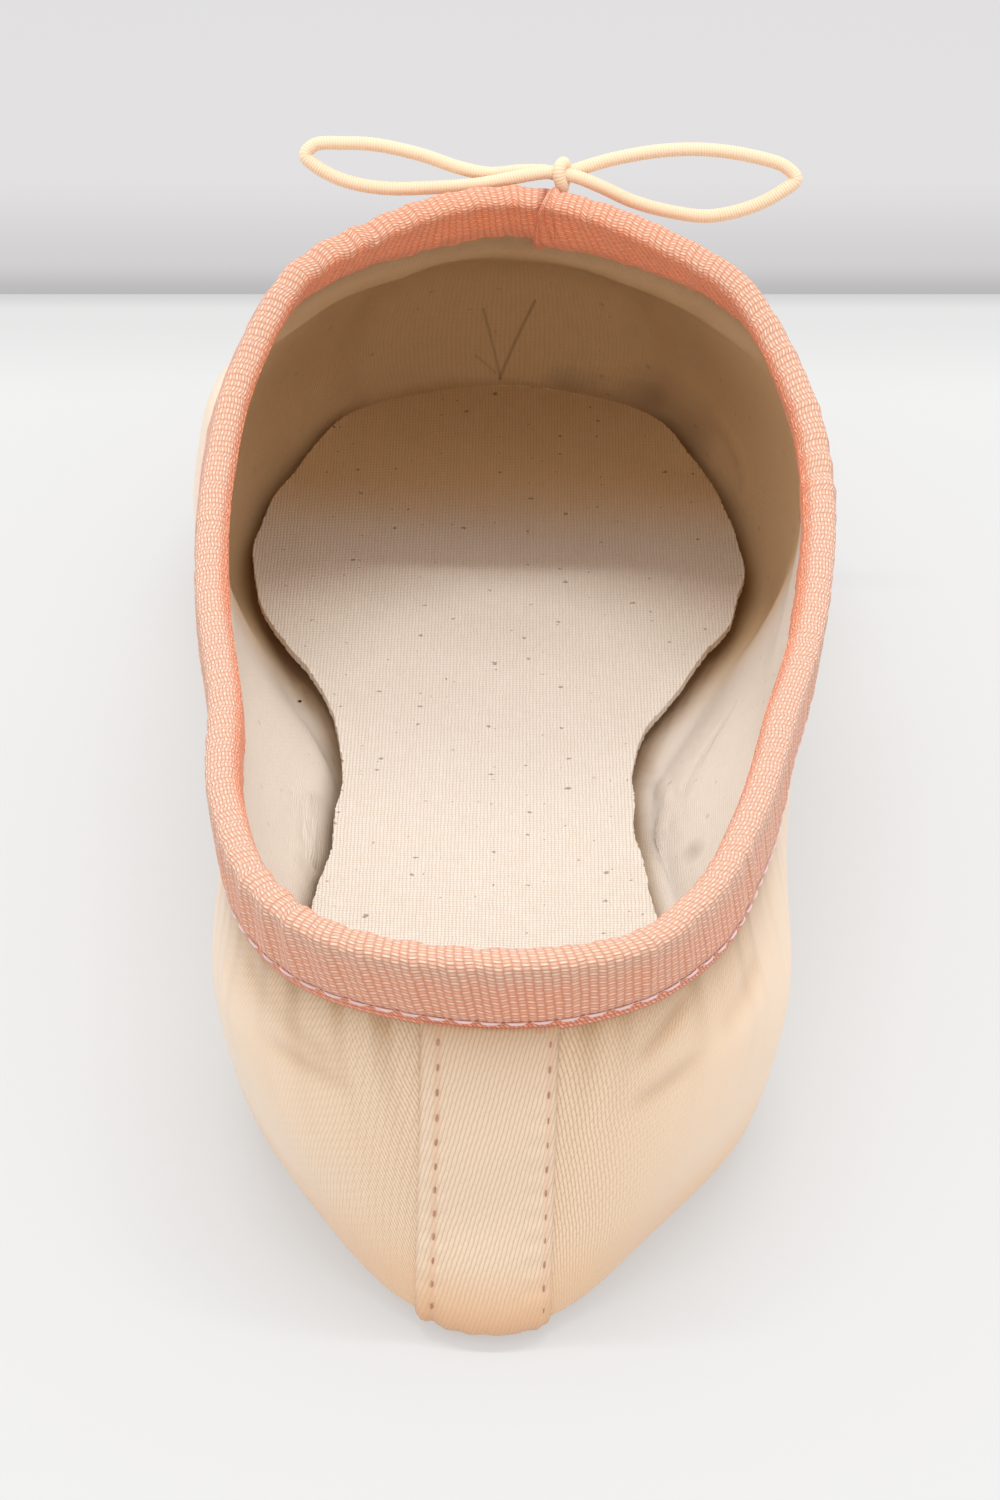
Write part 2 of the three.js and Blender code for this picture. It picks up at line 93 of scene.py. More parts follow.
HEIGHTS = {
    "side": [15.0, 16.0, 18.0, 17.5, 17.5, 18.0, 18.0, 15.6, 13.2, 12.0],
    "shoulder": [26.0, 26.0, 26.0, 25.0, 25.0, 27.0, 30.0, 28.4, 26.6, 24.4],
    "vamp": [31.4, 31.4, 31.2, 30.0, 29.6, 32.2, 37.0, 38.4, 36.4, 35.0],
    "tape": [36.6, 36.4, 35.8, 33.6, 32.6, 35.2, 40.6, 48.2, 52.6, 53.6],
    "collar": [HEEL_HEIGHT, 45.2, 44.0, 41.6, 40.4, 42.6, 47.8, 55.2, 59.6, THROAT_HEIGHT],
}
# Where each line starts at the heel and ends at the toe, and how round it is at both ends.
LINES = {
    "seam": (6.0, 188.0, 10, 24),
    "feather": (-0.3, 207.3, 10, 56),
    "side": (0.8, LENGTH, 16, 60),
    "shoulder": (1.7, 207.8, 24, 44),
    "vamp": (2.4, 190.5, 30, 22),
    "tape": (2.9, 152.6, 32, 17),
    "collar": (2.0, 148.4, 40, 17),
}
CURVE_STATIONS = [0.00, 0.05, 0.15, 0.30, 0.45, 0.60, 0.84, 1.00]
CURVE_LOW = [0.2, 0.1, 1.2, 1.2, 0.2, 0.5, 0.4, 0.6]
CURVE_HIGH = [-0.4, -1.5, -1.1, 0.6, 1.7, 2.1, 1.4, 0.6]
SOCK_Y = [12, 32, 68, 84, 98, 112, 124, 140, 155, 170, 185, 197]
SOCK_HALF = [12.2, 20.6, 20.0, 18.0, 17.6, 19.4, 23.6, 30.2, 32.4, 30.4, 25.6, 16.8]
SOCK_CURVE_Y = [6, 32, 68, 98, 124, 156, 185, 203]
SOCK_MIDDLE = [0.4, 0.6, -1.0, -1.0, 0.0, 0.0, 0.4, 1.4]
SOCK_ENDS = (6.5, 202.0, 11, 22)
HEEL_FLAT_END, ARCH_TOP, BALL_FLAT_START, BALL_FLAT_END = 46, 84, 122, 172
TURN_BACK = 2.2
MARGIN_SHARE = 0.76
FINE = 0.002
# How finely the pieces are made: steps between two points of a curve, turns round the shoe, and rows.
RIB_STEPS, ROUTE_STEPS = 40, 16
UPPER_TURNS, UPPER_ROWS = 481, (0.16, 24, 76)
LINING_TURNS, LINING_ROWS = 521, (0.2, 11, 76, 0.99)
SOLE_TURNS, SOLE_ACROSS = 161, 40
SOCK_TURNS, SOCK_ACROSS = 640, 72
TAPE_TURNS, STITCH_TURNS = 1001, 4001
OUTER_ROWS, CREST_ROWS, INNER_ROWS = 15, 15, 13
STRIP_DOWN, STRIP_ACROSS = 151, 61
SOLE_MIDDLE = 1.5
SATIN_MIDDLE = -0.001
SPECK = 0.08
# In metres: points nearer than this are one, and faces smaller than this go.
JOINED, NO_SIZE = 2e-6, 1e-7

# Everything on the part stands this far from the heel-based sizes above.
SHIFT = (sum((Vector(c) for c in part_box("bow_knot")), Vector()) / 2) / MM - KNOT
SHIFT.z = 0.0


# ---- Sums that the pieces share ----

def smooth(low, high, value):
    t = np.clip((np.asarray(value, float) - low) / (high - low), 0, 1)
    return t * t * (3 - 2 * t)


def hump(away, width):
    """1 where away is 0, fading softly over its width."""
    return np.exp(-(away / width) ** 2)


def unit(vectors):
    return vectors / np.linalg.norm(vectors, axis=-1, keepdims=True)


def run(points, axis=0):
    """How far each point lies from the first one, along the line that they make on one axis of the array."""
    steps = np.linalg.norm(np.diff(points, axis=axis), axis=-1)
    return np.concatenate([np.zeros_like(steps.take([0], axis)), np.cumsum(steps, axis=axis)], axis=axis)


def looped(over, under):
    """A closed section in each row: over its top, and back underneath."""
    return np.concatenate([over, under[:, ::-1], over[:, :1]], axis=1)


def spline(points, steps):
    """A smooth curve through each row of points, which may lie unevenly, in so many steps from point to point."""
    p = np.concatenate([2 * points[:, :1] - points[:, 1:2], points, 2 * points[:, -1:] - points[:, -2:-1]], axis=1)
    root = np.sqrt(np.linalg.norm(np.diff(p, axis=1), axis=2))[..., None]
    t = np.linspace(0, 1, steps, endpoint=False)[None, :, None]
    stretches = []
    for i in range(p.shape[1] - 3):
        a, b, c, d = (p[:, i + k, None] for k in range(4))
        u, v, w = (root[:, i + k, None] for k in range(3))
        t1 = ((b - a) / u - (c - a) / (u + v) + (c - b) / v) * v
        t2 = ((c - b) / v - (d - b) / (v + w) + (d - c) / w) * v
        stretches.append(b + t1 * t + (3 * (c - b) - 2 * t1 - t2) * t ** 2 + (2 * (b - c) + t1 + t2) * t ** 3)
    return np.concatenate(stretches + [p[:, -2:-1]], axis=1)


def table_value(places, values, at):
    """A value from a table at a place, on a smooth curve that never overshoots its rows."""
    places, values = np.asarray(places, float), np.asarray(values, float)
    at = np.clip(at, places[0], places[-1])
    step = np.diff(places)
    slope = np.diff(values) / step
    before, after = slope[:-1], slope[1:]
    total = np.where(before * after > 0, before + after, 1.0)
    inner = np.where(before * after > 0, 2 * before * after / total, 0.0)
    tangent = np.concatenate([slope[:1], inner, slope[-1:]])
    i = np.clip(np.searchsorted(places, at) - 1, 0, len(step) - 1)
    h = step[i]
    t = (at - places[i]) / h
    t2, t3 = t * t, t * t * t
    return ((2 * t3 - 3 * t2 + 1) * values[i] + (t3 - 2 * t2 + t) * h * tangent[i]
            + (3 * t2 - 2 * t3) * values[i + 1] + (t3 - t2) * h * tangent[i + 1])


def waves(phase, seed, count=4):
    """A gentle uneven wave between about -1 and 1, the same on every run."""
    draw = np.random.default_rng(seed)
    total = np.zeros_like(np.asarray(phase, float))
    for _ in range(count):
        total += np.sin(phase * draw.uniform(0.55, 1.6) + draw.uniform(0, 2 * np.pi)) / count
    return total * 1.6


# ---- The last: the surface that the upper, lining, tape and strip all follow ----

def underside(y):
    arch = smooth(HEEL_FLAT_END, ARCH_TOP, y) * (1 - smooth(ARCH_TOP, BALL_FLAT_START, y))
    return ARCH_RISE * arch + TOE_SPRING * smooth(BALL_FLAT_END, LENGTH, y)


def line_point(name, turn):
    """Points of one line round the shoe. A turn goes from 0 at the heel to 0.5 at the toe, right side first."""
    heel, toe, heel_radius, toe_radius = LINES[name]
    at = (1 - np.cos(2 * np.pi * turn)) / 2
    y = heel + (LENGTH - heel) * at - (LENGTH - toe) * at ** TURN_BACK
    stations = np.array(WIDTH_STATIONS)
    halves = np.array(WIDTHS[name]) / 100 * BALL_WIDTH / 2
    heel_rate = LENGTH - heel
    toe_rate = heel_rate - (LENGTH - toe) * TURN_BACK
    fullness = [math.sqrt(heel_radius * heel_rate / 2), *(halves / (2 * np.sqrt(stations * (1 - stations)))),
                math.sqrt(toe_radius * toe_rate / 2)]
    half = table_value([0, *stations, 1], fullness, at) * np.sin(2 * np.pi * turn)
    low = table_value(CURVE_STATIONS, CURVE_LOW, at)
    high = table_value(CURVE_STATIONS, CURVE_HIGH, at)
    if name in HEIGHTS:
        z = table_value(HEIGHT_STATIONS, HEIGHTS[name], at)
        lean = np.minimum(1, z / HEEL_HEIGHT) ** 2
    else:
        z = underside(y) + (SATIN_LIFT if name == "seam" else FEATHER_LIFT)
        lean = np.zeros_like(z)
    return np.stack([half + low + (high - low) * lean, y, z], axis=-1)


def rib_curves(turn):
    """Dense points along each rib from the sole's seam to the collar's edge, and their lengths along it."""
    seam, feather = line_point("seam", turn), line_point("feather", turn)
    margin = seam + (feather - seam) * MARGIN_SHARE
    margin[:, 2] = underside(margin[:, 1]) + SATIN_LIFT
    rest = [line_point(name, turn) for name in ("side", "shoulder", "vamp", "tape", "collar")]
    curve = spline(np.stack([seam, margin, feather, *rest], axis=1), RIB_STEPS)
    return curve, run(curve, 1)


class Last:
    """The upper's outer face over some turns, each with its own rises from 0 at the seam to 1 at the collar."""

    def __init__(self, turns):
        self.turns = np.asarray(turns, float)
        self.sides = [rib_curves(self.turns + shift) for shift in (-FINE, 0, FINE)]
        self.length = self.sides[1][1][:, -1]

    def _at(self, side, rises):
        curve, length = self.sides[side]
        out = np.empty(rises.shape + (3,))
        for i, row in enumerate(rises):
            along = np.clip(row, 0, 1) * length[i, -1]
            for k in range(3):
                out[i, :, k] = np.interp(along, length[i], curve[i, :, k])
        return out

    def rises(self, rises):
        rises = np.asarray(rises, float)
        return np.broadcast_to(rises, (len(self.turns), rises.shape[-1]))

    def point(self, rises):
        return self._at(1, self.rises(rises))

    def outward(self, rises):
        rises = self.rises(rises)
        up = self._at(1, np.minimum(1, rises + 2 * FINE)) - self._at(1, np.maximum(0, rises - 2 * FINE))
        return unit(np.cross(self._at(2, rises) - self._at(0, rises), up))

    def offset(self, rises, distance):
        distance = np.broadcast_to(distance, self.rises(rises).shape)
        return self.point(rises) + self.outward(rises) * distance[..., None]


def from_heel(turn):
    """How far round a turn lies from the heel, the shorter way, up to 0.5 at the toe."""
    return np.minimum(np.abs(turn), 1 - np.abs(turn))


def wall_at(turn, rise):
    """The wall is thicker in the stiff box round the toes, and thin again at the collar."""
    box = smooth(0.3, 0.46, from_heel(turn)) * smooth(0.05, 0.22, rise) * (1 - smooth(0.62, 0.86, rise))
    return WALL + (BOX_WALL - WALL) * box - (WALL - COLLAR_WALL) * smooth(0.6, 0.8, rise)


def toe_share(turns):
    return smooth(0.30, 0.42, from_heel(turns))[:, None]


def tape_start(last):
    """The rise of the tape's lower edge."""
    return 1 - TAPE_HEIGHT / last.length[:, None]


def far_round(last, rise):
    """How far round the shoe each turn lies from the first one, along the line at one rise."""
    return run(last.point([rise])[:, 0])


def rise_rows(split, below, above, top=1.0):
    """Rises with their own spacing below and above a split."""
    return np.concatenate([np.linspace(0, split, below, endpoint=False), np.linspace(split, top, above)])


def bumps(points, marks):
    """The height of soft ridges, and of troughs where the height is less than 0, at points in millimetres.
    A mark is (start, end, half width, height): it fades over its width, and towards both its ends."""
    total = np.zeros(points.shape[:-1])
    for start, end, width, height in marks:
        start, end = np.array(start, float), np.array(end, float)
        axis = end - start
        t = np.clip(((points - start) @ axis) / (axis @ axis), 0, 1)
        away = np.linalg.norm(points - start - t[..., None] * axis, axis=-1)
        fade = 0.25 + 0.75 * np.sin(np.pi * np.clip(t, 0, 1)) ** 0.5
        total += height * fade * hump(away, width)
    return total


# ---- Meshes ----

def select(*pieces):
    """Selects only these pieces, and makes the first of them active."""
    bpy.ops.object.select_all(action="DESELECT")
    for piece in pieces:
        piece.select_set(True)
    if pieces:
        bpy.context.view_layer.objects.active = pieces[0]


def read(items, field, width=3, kind=float):
    """One field of all the items, as rows of so many numbers."""
    flat = np.empty(len(items) * width, kind)
    items.foreach_get(field, flat)
    return flat.reshape(-1, width)


def in_frame(points):
    """Points in the frame's metres, from heel-based millimetres."""
    return (points + np.array(SHIFT)) * MM


def grid_piece(name, points, cloth, shade=None):
    """A mesh whose rows and columns are an array of points in millimetres, with the cloth's own lengths as its UVs.
    Rows or columns that meet are joined. Shade is the painted shade at each point, up to 1, in a crease or under an
    edge."""
    select()
    rows, columns = points.shape[:2]
    bpy.ops.mesh.primitive_grid_add(x_subdivisions=rows - 1, y_subdivisions=columns - 1, size=1)
    piece = bpy.context.object
    mesh = piece.data
    piece.name = mesh.name = name
    spots = read(mesh.vertices, "co")
    i = np.rint((spots[:, 0] + 0.5) * (rows - 1)).astype(int)
    j = np.rint((spots[:, 1] + 0.5) * (columns - 1)).astype(int)
    mesh.vertices.foreach_set("co", in_frame(points[i, j]).ravel())
    corners = read(mesh.loops, "vertex_index", 1, int)[:, 0]
    mesh.uv_layers[0].name = "cloth"
    mesh.uv_layers[0].data.foreach_set("uv", cloth[i, j][corners].ravel())
    if shade is not None:
        mesh.attributes.new("shade", "FLOAT", "POINT").data.foreach_set("value", shade[i, j].astype(np.float32))
    mesh.update()
    select(piece)
    bpy.ops.object.mode_set(mode="EDIT")
    bpy.ops.mesh.select_all(action="SELECT")
    bpy.ops.mesh.remove_doubles(threshold=JOINED)
    bpy.ops.mesh.dissolve_degenerate(threshold=NO_SIZE)
    bpy.ops.object.mode_set(mode="OBJECT")
    turn_outwards(mesh)
    return piece


def turn_outwards(mesh):
    mesh.calc_loop_triangles()
    corners = read(mesh.loop_triangles, "vertices", 3, int)
    a, b, c = read(mesh.vertices, "co")[corners].transpose(1, 0, 2)
    if np.einsum("ij,ij->", a, np.cross(b, c)) < 0:
        mesh.flip_normals()


def finish_piece(piece, material, slot, *nodes, sharp=55):
    """Smooths the piece, gives it its material and its body, and hides the part's nodes that it stands for. Its slot
    is not used.
    """
    select(piece)
    bpy.ops.object.shade_smooth_by_angle(angle=math.radians(sharp))
    piece.data.materials.clear()
    piece.data.materials.append(material)
    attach(piece, "root")
    if nodes:
        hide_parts(*nodes)


def shell(name, last, rises, outside, inside, shade):
    """A closed ring between an outer and an inner face, both over the same rises."""
    points = looped(outside, inside)
    points[-1] = points[0]
    up = last.rises(rises)
    up = looped(up, up)
    far = np.broadcast_to(far_round(last, 0.6)[:, None], up.shape)
    cloth = np.stack([far, (1 - up) * last.length[:, None]], axis=-1)
    return grid_piece(name, points, cloth, looped(shade, shade))


# ---- The pieces ----

PLEATS = 46
# Soft ridges and troughs in the satin and the lining: start, end, half width and height.
SATIN_MARKS = [
    ((-24.9, 18.4, 34.1), (-16.3, 7.2, 29.9), 1.5, -0.5),
    ((-22.6, 12.8, 28.2), (-15.0, 5.6, 27.4), 1.3, -0.35),
    ((19.6, 11.5, 35.2), (14.7, 6.5, 31.2), 1.3, -0.45),
    ((21.0, 11.4, 27.9), (14.2, 5.9, 25.8), 1.4, -0.35),
    ((27.5, 25.5, 30.7), (22.4, 15.2, 29.0), 1.6, -0.35),
]
LINING_MARKS = [
    ((-0.1, 202.5, 6.6), (-2.6, 206.5, 15.9), 0.7, 0.15),
    ((-0.1, 202.5, 6.6), (4.5, 206.5, 17.1), 0.7, 0.15),
    ((29.5, 186.7, 10.0), (32.0, 179.6, 9.5), 0.9, 0.6),
    ((32.0, 179.6, 9.5), (32.8, 175.1, 8.4), 0.9, 0.6),
    ((32.8, 175.1, 8.4), (32.3, 172.7, 6.4), 0.9, 0.5),
    ((-27.8, 136.2, 3.0), (-20.1, 104.1, 5.0), 2.4, -0.5),
    ((-24.5, 120.0, 3.8), (-21.4, 96.0, 6.2), 1.7, 0.5),
    ((-23.0, 86.7, 10.2), (-20.6, 91.1, 7.4), 0.8, 0.6),
    ((-23.5, 74.2, 9.9), (-20.4, 75.6, 6.3), 1.2, 0.6),
    ((18.4, 108.2, 3.5), (20.4, 94.0, 6.7), 0.9, 0.6),
    ((20.4, 94.0, 6.7), (19.0, 82.9, 5.4), 0.9, 0.6),
    ((28.8, 105.1, 14.2), (23.3, 93.9, 9.7), 0.5, -0.4),
    ((23.3, 93.9, 9.7), (17.1, 79.3, 7.7), 0.5, -0.4),
]
# Where the lining is rubbed and its glue shows.
ROUGH_MARKS = [
    ((-23.4, 88.0, 9.6), (-20.8, 74.0, 6.0), 2.6, 1.0),
    ((18.4, 108.2, 3.5), (20.4, 94.0, 6.7), 1.8, 0.9),
    ((20.4, 94.0, 6.7), (19.0, 80.0, 5.4), 2.6, 1.0),
]
# Fine lines on the lining: painted shade along its creases and in the hollows by the sock's far edge, and other marks.
# Each is start, end, half width, strength, colour, and how much each direction counts.
ACROSS, ALONG = (1, 0.04, 1), (0.3, 1, 1)
# Colours of painted shade: along creases, and in hollows such as the corners by the sock and a dimple.
CREASE_SHADE, HOLLOW_SHADE = (0.12, 0.055, 0.025), (0.15, 0.085, 0.055)
LINING_STREAKS = [
    ((-0.1, 202.5, 6.6), (-2.7, 205.9, 16.3), 0.32, 0.4, CREASE_SHADE, ACROSS),
    ((-0.1, 202.5, 6.6), (4.5, 205.8, 17.9), 0.36, 0.5, CREASE_SHADE, ACROSS),
    ((-0.8, 202.8, 7.2), (-3.6, 204.8, 9.4), 0.28, 0.25, CREASE_SHADE, ACROSS),
    ((26.2, 189.1, 7.0), (20.4, 197.4, 7.5), 4.2, 0.4, HOLLOW_SHADE, (0.6, 0.6, 0.8)),
    ((20.4, 197.4, 7.5), (9.0, 203.0, 7.0), 2.4, 0.35, HOLLOW_SHADE, (0.6, 0.6, 1)),
    ((-19.4, 190.2, 6.6), (-11.3, 199.5, 6.6), 2.2, 0.35, HOLLOW_SHADE, (0.6, 0.6, 1)),
    ((-22.4, 195.7, 16.4), (-21.9, 197.8, 12.9), 0.4, 0.7, (0.25, 0.11, 0.03), (1, 0.5, 1)),
    ((-22.9, 188.4, 24.2), (-24.1, 192.2, 20.0), 0.28, 0.6, (0.8, 0.62, 0.42), (1, 0.5, 1)),
    ((23.2, 80.4, 8.7), (23.2, 79.4, 8.9), 1.6, 0.3, HOLLOW_SHADE, ALONG),
    ((28.8, 105.1, 14.2), (17.1, 79.3, 7.7), 0.3, 0.3, CREASE_SHADE, ALONG),
    ((-22.6, 88.0, 9.6), (-20.8, 76.0, 6.8), 1.6, 0.4, (0.85, 0.78, 0.7), ALONG),
]


def make_upper(shoe):
    """The satin outer, drawn over the last, gathered at the tape, and pleated under the toe and the heel."""
    turns = np.linspace(0, 1, UPPER_TURNS)
    last = Last(turns)
    rises = rise_rows(*UPPER_ROWS)
    rise = last.rises(rises)
    outside = last.offset(rises, 0.0)
    far = far_round(last, 0.9)[:, None]
    under = (1 - smooth(0.03, 0.15, rise)) * np.maximum(toe_share(turns), 0.4)
    pleats = 0.45 * under * np.abs(np.sin(np.pi * PLEATS * turns[:, None] + 0.6 * waves(far / 9, 3)))
    depth = (tape_start(last) - rise) * last.length[:, None]
    gathers = np.exp(-np.clip(depth, 0, None) / 5.0) * 0.16 * waves(far * 0.9, 5)
    slack = 0.22 * waves(far / 7 + rise * 3, 8) * smooth(0.2, 0.45, rise) * (1 - toe_share(turns))
    tucked = -0.12 * smooth(-0.6, 0.8, -depth)
    relief = (pleats + gathers + slack) * (1 - smooth(-1, 1, -depth)) + tucked
    folds = bumps(outside, SATIN_MARKS)
    # Painted shade: dark just under the tape, in streaks down from its gathers, mostly round the heel, and in the
    # folds' troughs.
    heel = 1 - smooth(0.12, 0.24, from_heel(turns))[:, None]
    low = np.clip(depth, 0, None)
    gathers = np.clip(waves(far_round(last, 1.0)[:, None] * 0.9, 31), 0, 1) * np.exp(-low / 6.5)
    shade = (0.85 * np.exp(-low / 3.6) + 0.45 * gathers) * (0.3 + 0.7 * heel) + 0.9 * np.clip(-folds, 0, 1)
    outside = last.offset(rises, (relief + folds) * shoe.crease)
    inside = last.offset(rises, 0.5 - wall_at(turns[:, None], rise))
    piece = shell("upper", last, rises, outside, inside, np.clip(shade, 0, 1))
    finish_piece(piece, satin_material(shoe), "satin", "upper")


def make_lining(shoe):
    """The canvas lining, glued inside the satin, with the folds that the last and the box leave in it."""
    turns = np.linspace(0, 1, LINING_TURNS)
    last = Last(turns)
    rises = rise_rows(*LINING_ROWS)
    rise = last.rises(rises)
    wall = wall_at(turns[:, None], rise)
    far = far_round(last, 0.8)[:, None]
    face = last.offset(rises, -wall)
    marks = bumps(face, LINING_MARKS)
    rough = np.clip(bumps(face, ROUGH_MARKS), 0, 1)
    draw = np.random.default_rng(24)
    relief = marks + rough * draw.normal(0, 0.16, rough.shape)
    middle = smooth(0.1, 0.3, rise) * (1 - smooth(0.8, 0.95, rise))
    relief = relief + 0.16 * waves(far / 5 + 2 * rise, 21) * middle
    relief = relief + 0.18 * waves(far * 0.7, 23) * smooth(0.86, 0.97, rise)
    inside = last.offset(rises, -wall - relief * shoe.crease)
    outside = last.offset(rises, 0.38 - wall)
    # Painted shade: in the gap beside the sock's raw edge, along the folds, and under the tape towards the throat. The
    # rubbed patches also darken a little at random where their glue shows.
    share = np.clip((face[..., 1] - SOCK_ENDS[0]) / (SOCK_ENDS[1] - SOCK_ENDS[0]), 0, 1)
    beside = np.abs(face[..., 0] - table_value(SOCK_CURVE_Y, SOCK_MIDDLE, face[..., 1])) - sock_half(share)
    gap = hump(np.clip(beside, 0, None), 1.6) * (1 - smooth(6, 11, face[..., 2])) * (share < 1)
    below = np.clip((1 - rise) * last.length[:, None] - TAPE_HEIGHT, 0, None)
    under = 0.75 * smooth(0.2, 0.36, from_heel(turns))[:, None] * np.exp(-below / 9)
    shade = np.clip(0.95 * gap + 0.4 * np.abs(marks) + 0.12 * rough * draw.random(rough.shape) + under, 0, 1)
    piece = shell("lining", last, rises, outside, inside, shade)
    finish_piece(piece, lining_material(shoe), "canvas", "upper")


def across_steps(count):
    """Shares of a half width from -1 to 1, closer together at both edges."""
    return np.sin(np.linspace(-np.pi / 2, np.pi / 2, count))[None, :]


def plate(name, left, right, share, height):
    """A flat piece between two edges that run from the heel to the toe. Its section goes right round, in shares of the
    half width and heights over the sole."""
    middle, half = (left + right) / 2, (right - left) / 2
    points = middle[:, None, :] + half[:, None, :] * share[..., None]
    points[..., 2] = underside(points[..., 1]) + height
    return grid_piece(name, points, points[..., :2].copy())


def sole_edges(inset):
    """The sole's left and right edges, inside the seam by an inset."""
    turns = np.linspace(0, 0.5, SOLE_TURNS)
    edges = []
    for turn in (1 - turns, turns):
        seam = line_point("seam", turn)
        along = line_point("seam", turn + FINE) - line_point("seam", turn - FINE)
        seam[:, :2] += inset * unit(np.stack([-along[:, 1], along[:, 0]], axis=-1))
        edges.append(seam)
    return edges


def make_outsole(shoe):
    """The leather sole, let into the opening that the satin leaves, with a skived, rounded edge."""
    left, right = sole_edges(GAP)
    across = across_steps(SOLE_ACROSS)
    edge = np.sqrt(np.clip(1 - np.abs(across) ** 8, 0, 1))
    height = looped(SOLE_THICKNESS - 0.5 + 0.5 * edge, 0.6 - 0.6 * edge)
    ends = np.sin(np.linspace(0, np.pi, len(left))) ** 0.25
    height = SOLE_MIDDLE + (height - SOLE_MIDDLE) * np.clip(ends, 0.3, 1)[:, None]
    piece = plate("outsole", left, right, looped(across, across), height)
    finish_piece(piece, leather_material(shoe), "leather", "outsole", sharp=40)


def sock_half(at):
    length = SOCK_ENDS[1] - SOCK_ENDS[0]
    stations = (np.array(SOCK_Y, float) - SOCK_ENDS[0]) / length
    fullness = np.array(SOCK_HALF) / (2 * np.sqrt(stations * (1 - stations)))
    ends = [math.sqrt(radius * length / 2) for radius in SOCK_ENDS[2:]]
    return table_value([0, *stations, 1], [ends[0], *fullness, ends[1]], at) * 2 * np.sqrt(at * (1 - at))


def make_insole(shoe):
    """The canvas sock, cut from a loose weave: it waves a little, and its raw edge frays and stands off the lining."""
    at = (1 - np.cos(np.linspace(0, np.pi, SOCK_TURNS))) / 2
    y = SOCK_ENDS[0] + (SOCK_ENDS[1] - SOCK_ENDS[0]) * at
    draw = np.random.default_rng(12)
    half, middle = sock_half(at), table_value(SOCK_CURVE_Y, SOCK_MIDDLE, y)
    edges = []
    for side in (-1, 1):
        fray = draw.normal(0, 0.05, SOCK_TURNS) - 0.16 * (draw.random(SOCK_TURNS) > 0.93)
        fray = fray + 0.22 * waves(y / 3, 31 + side)
        x = middle + side * np.maximum(0, half - 0.15 + fray * smooth(0, 6, half))
        edges.append(np.stack([x, y, 0 * y], axis=-1))
    across = across_steps(SOCK_ACROSS)
    curl = 0.25 * np.abs(across) ** 10
    top = SOCK_UNDERSIDE + SOCK_THICKNESS - 0.1 + 0 * across
    low = SOCK_UNDERSIDE + 0.5 + 0.5 * np.abs(across) ** 6
    field = 0.14 * waves(y[:, None] / 6 + 2 * across, 41) + 0.12 * waves(y[:, None] / 11 - 3 * across, 42)
    lift = curl * (0.6 + 0.8 * waves(y[:, None] / 4, 43)) + field * (1 - np.abs(across) ** 8)
    height = looped(top + lift, low + lift * 0.6)
    piece = plate("insole", *edges, looped(across, across), height)
    finish_piece(piece, sock_material(shoe), "canvas", "insole", sharp=75)


JOIN_TURN = 0.462
LAP = 0.0125
LAP_SLANT = 1.3
# Puckers in the tape: the turn, the half width in turns and the height.
TAPE_MARKS = [
    (0.452, 0.0045, 0.28), (0.441, 0.0030, -0.42), (0.432, 0.0040, 0.30), (0.424, 0.0028, -0.36),
    (0.416, 0.0036, 0.26), (0.466, 0.0030, -0.22), (0.596, 0.0050, -0.25), (0.612, 0.0040, 0.22),
]
TAPE_STITCH = 2.8
TAPE_STITCH_UP = 1.5


def tape_turns(count=TAPE_TURNS):
    """The tape starts under its own end at the throat, and goes once round."""
    return JOIN_TURN + np.linspace(0, 1 + LAP, count)


def tape_edge(last):
    """The tape's lower edge wavers a little along the satin."""
    far = far_round(last, 1.0)[:, None]
    return far, TAPE_HEIGHT + 0.22 * waves(far / 6, 51)


def tape_relief(far, up, turns):
    """Small puckers that the drawstring and the stitches draw into the tape."""
    puckers = 0.16 * waves(far * 1.25, 52) + 0.10 * waves(far * 2.6, 53)
    for turn, width, high in TAPE_MARKS:
        puckers = puckers + high * hump(np.mod(turns, 1.0)[:, None] - turn, width)
    pull = 0.8 + 0.2 * np.cos(2 * np.pi * far / TAPE_STITCH)
    stitch = -0.22 * hump(up - TAPE_STITCH_UP, 0.45) * pull
    return puckers * smooth(0.4, 3.5, up), stitch


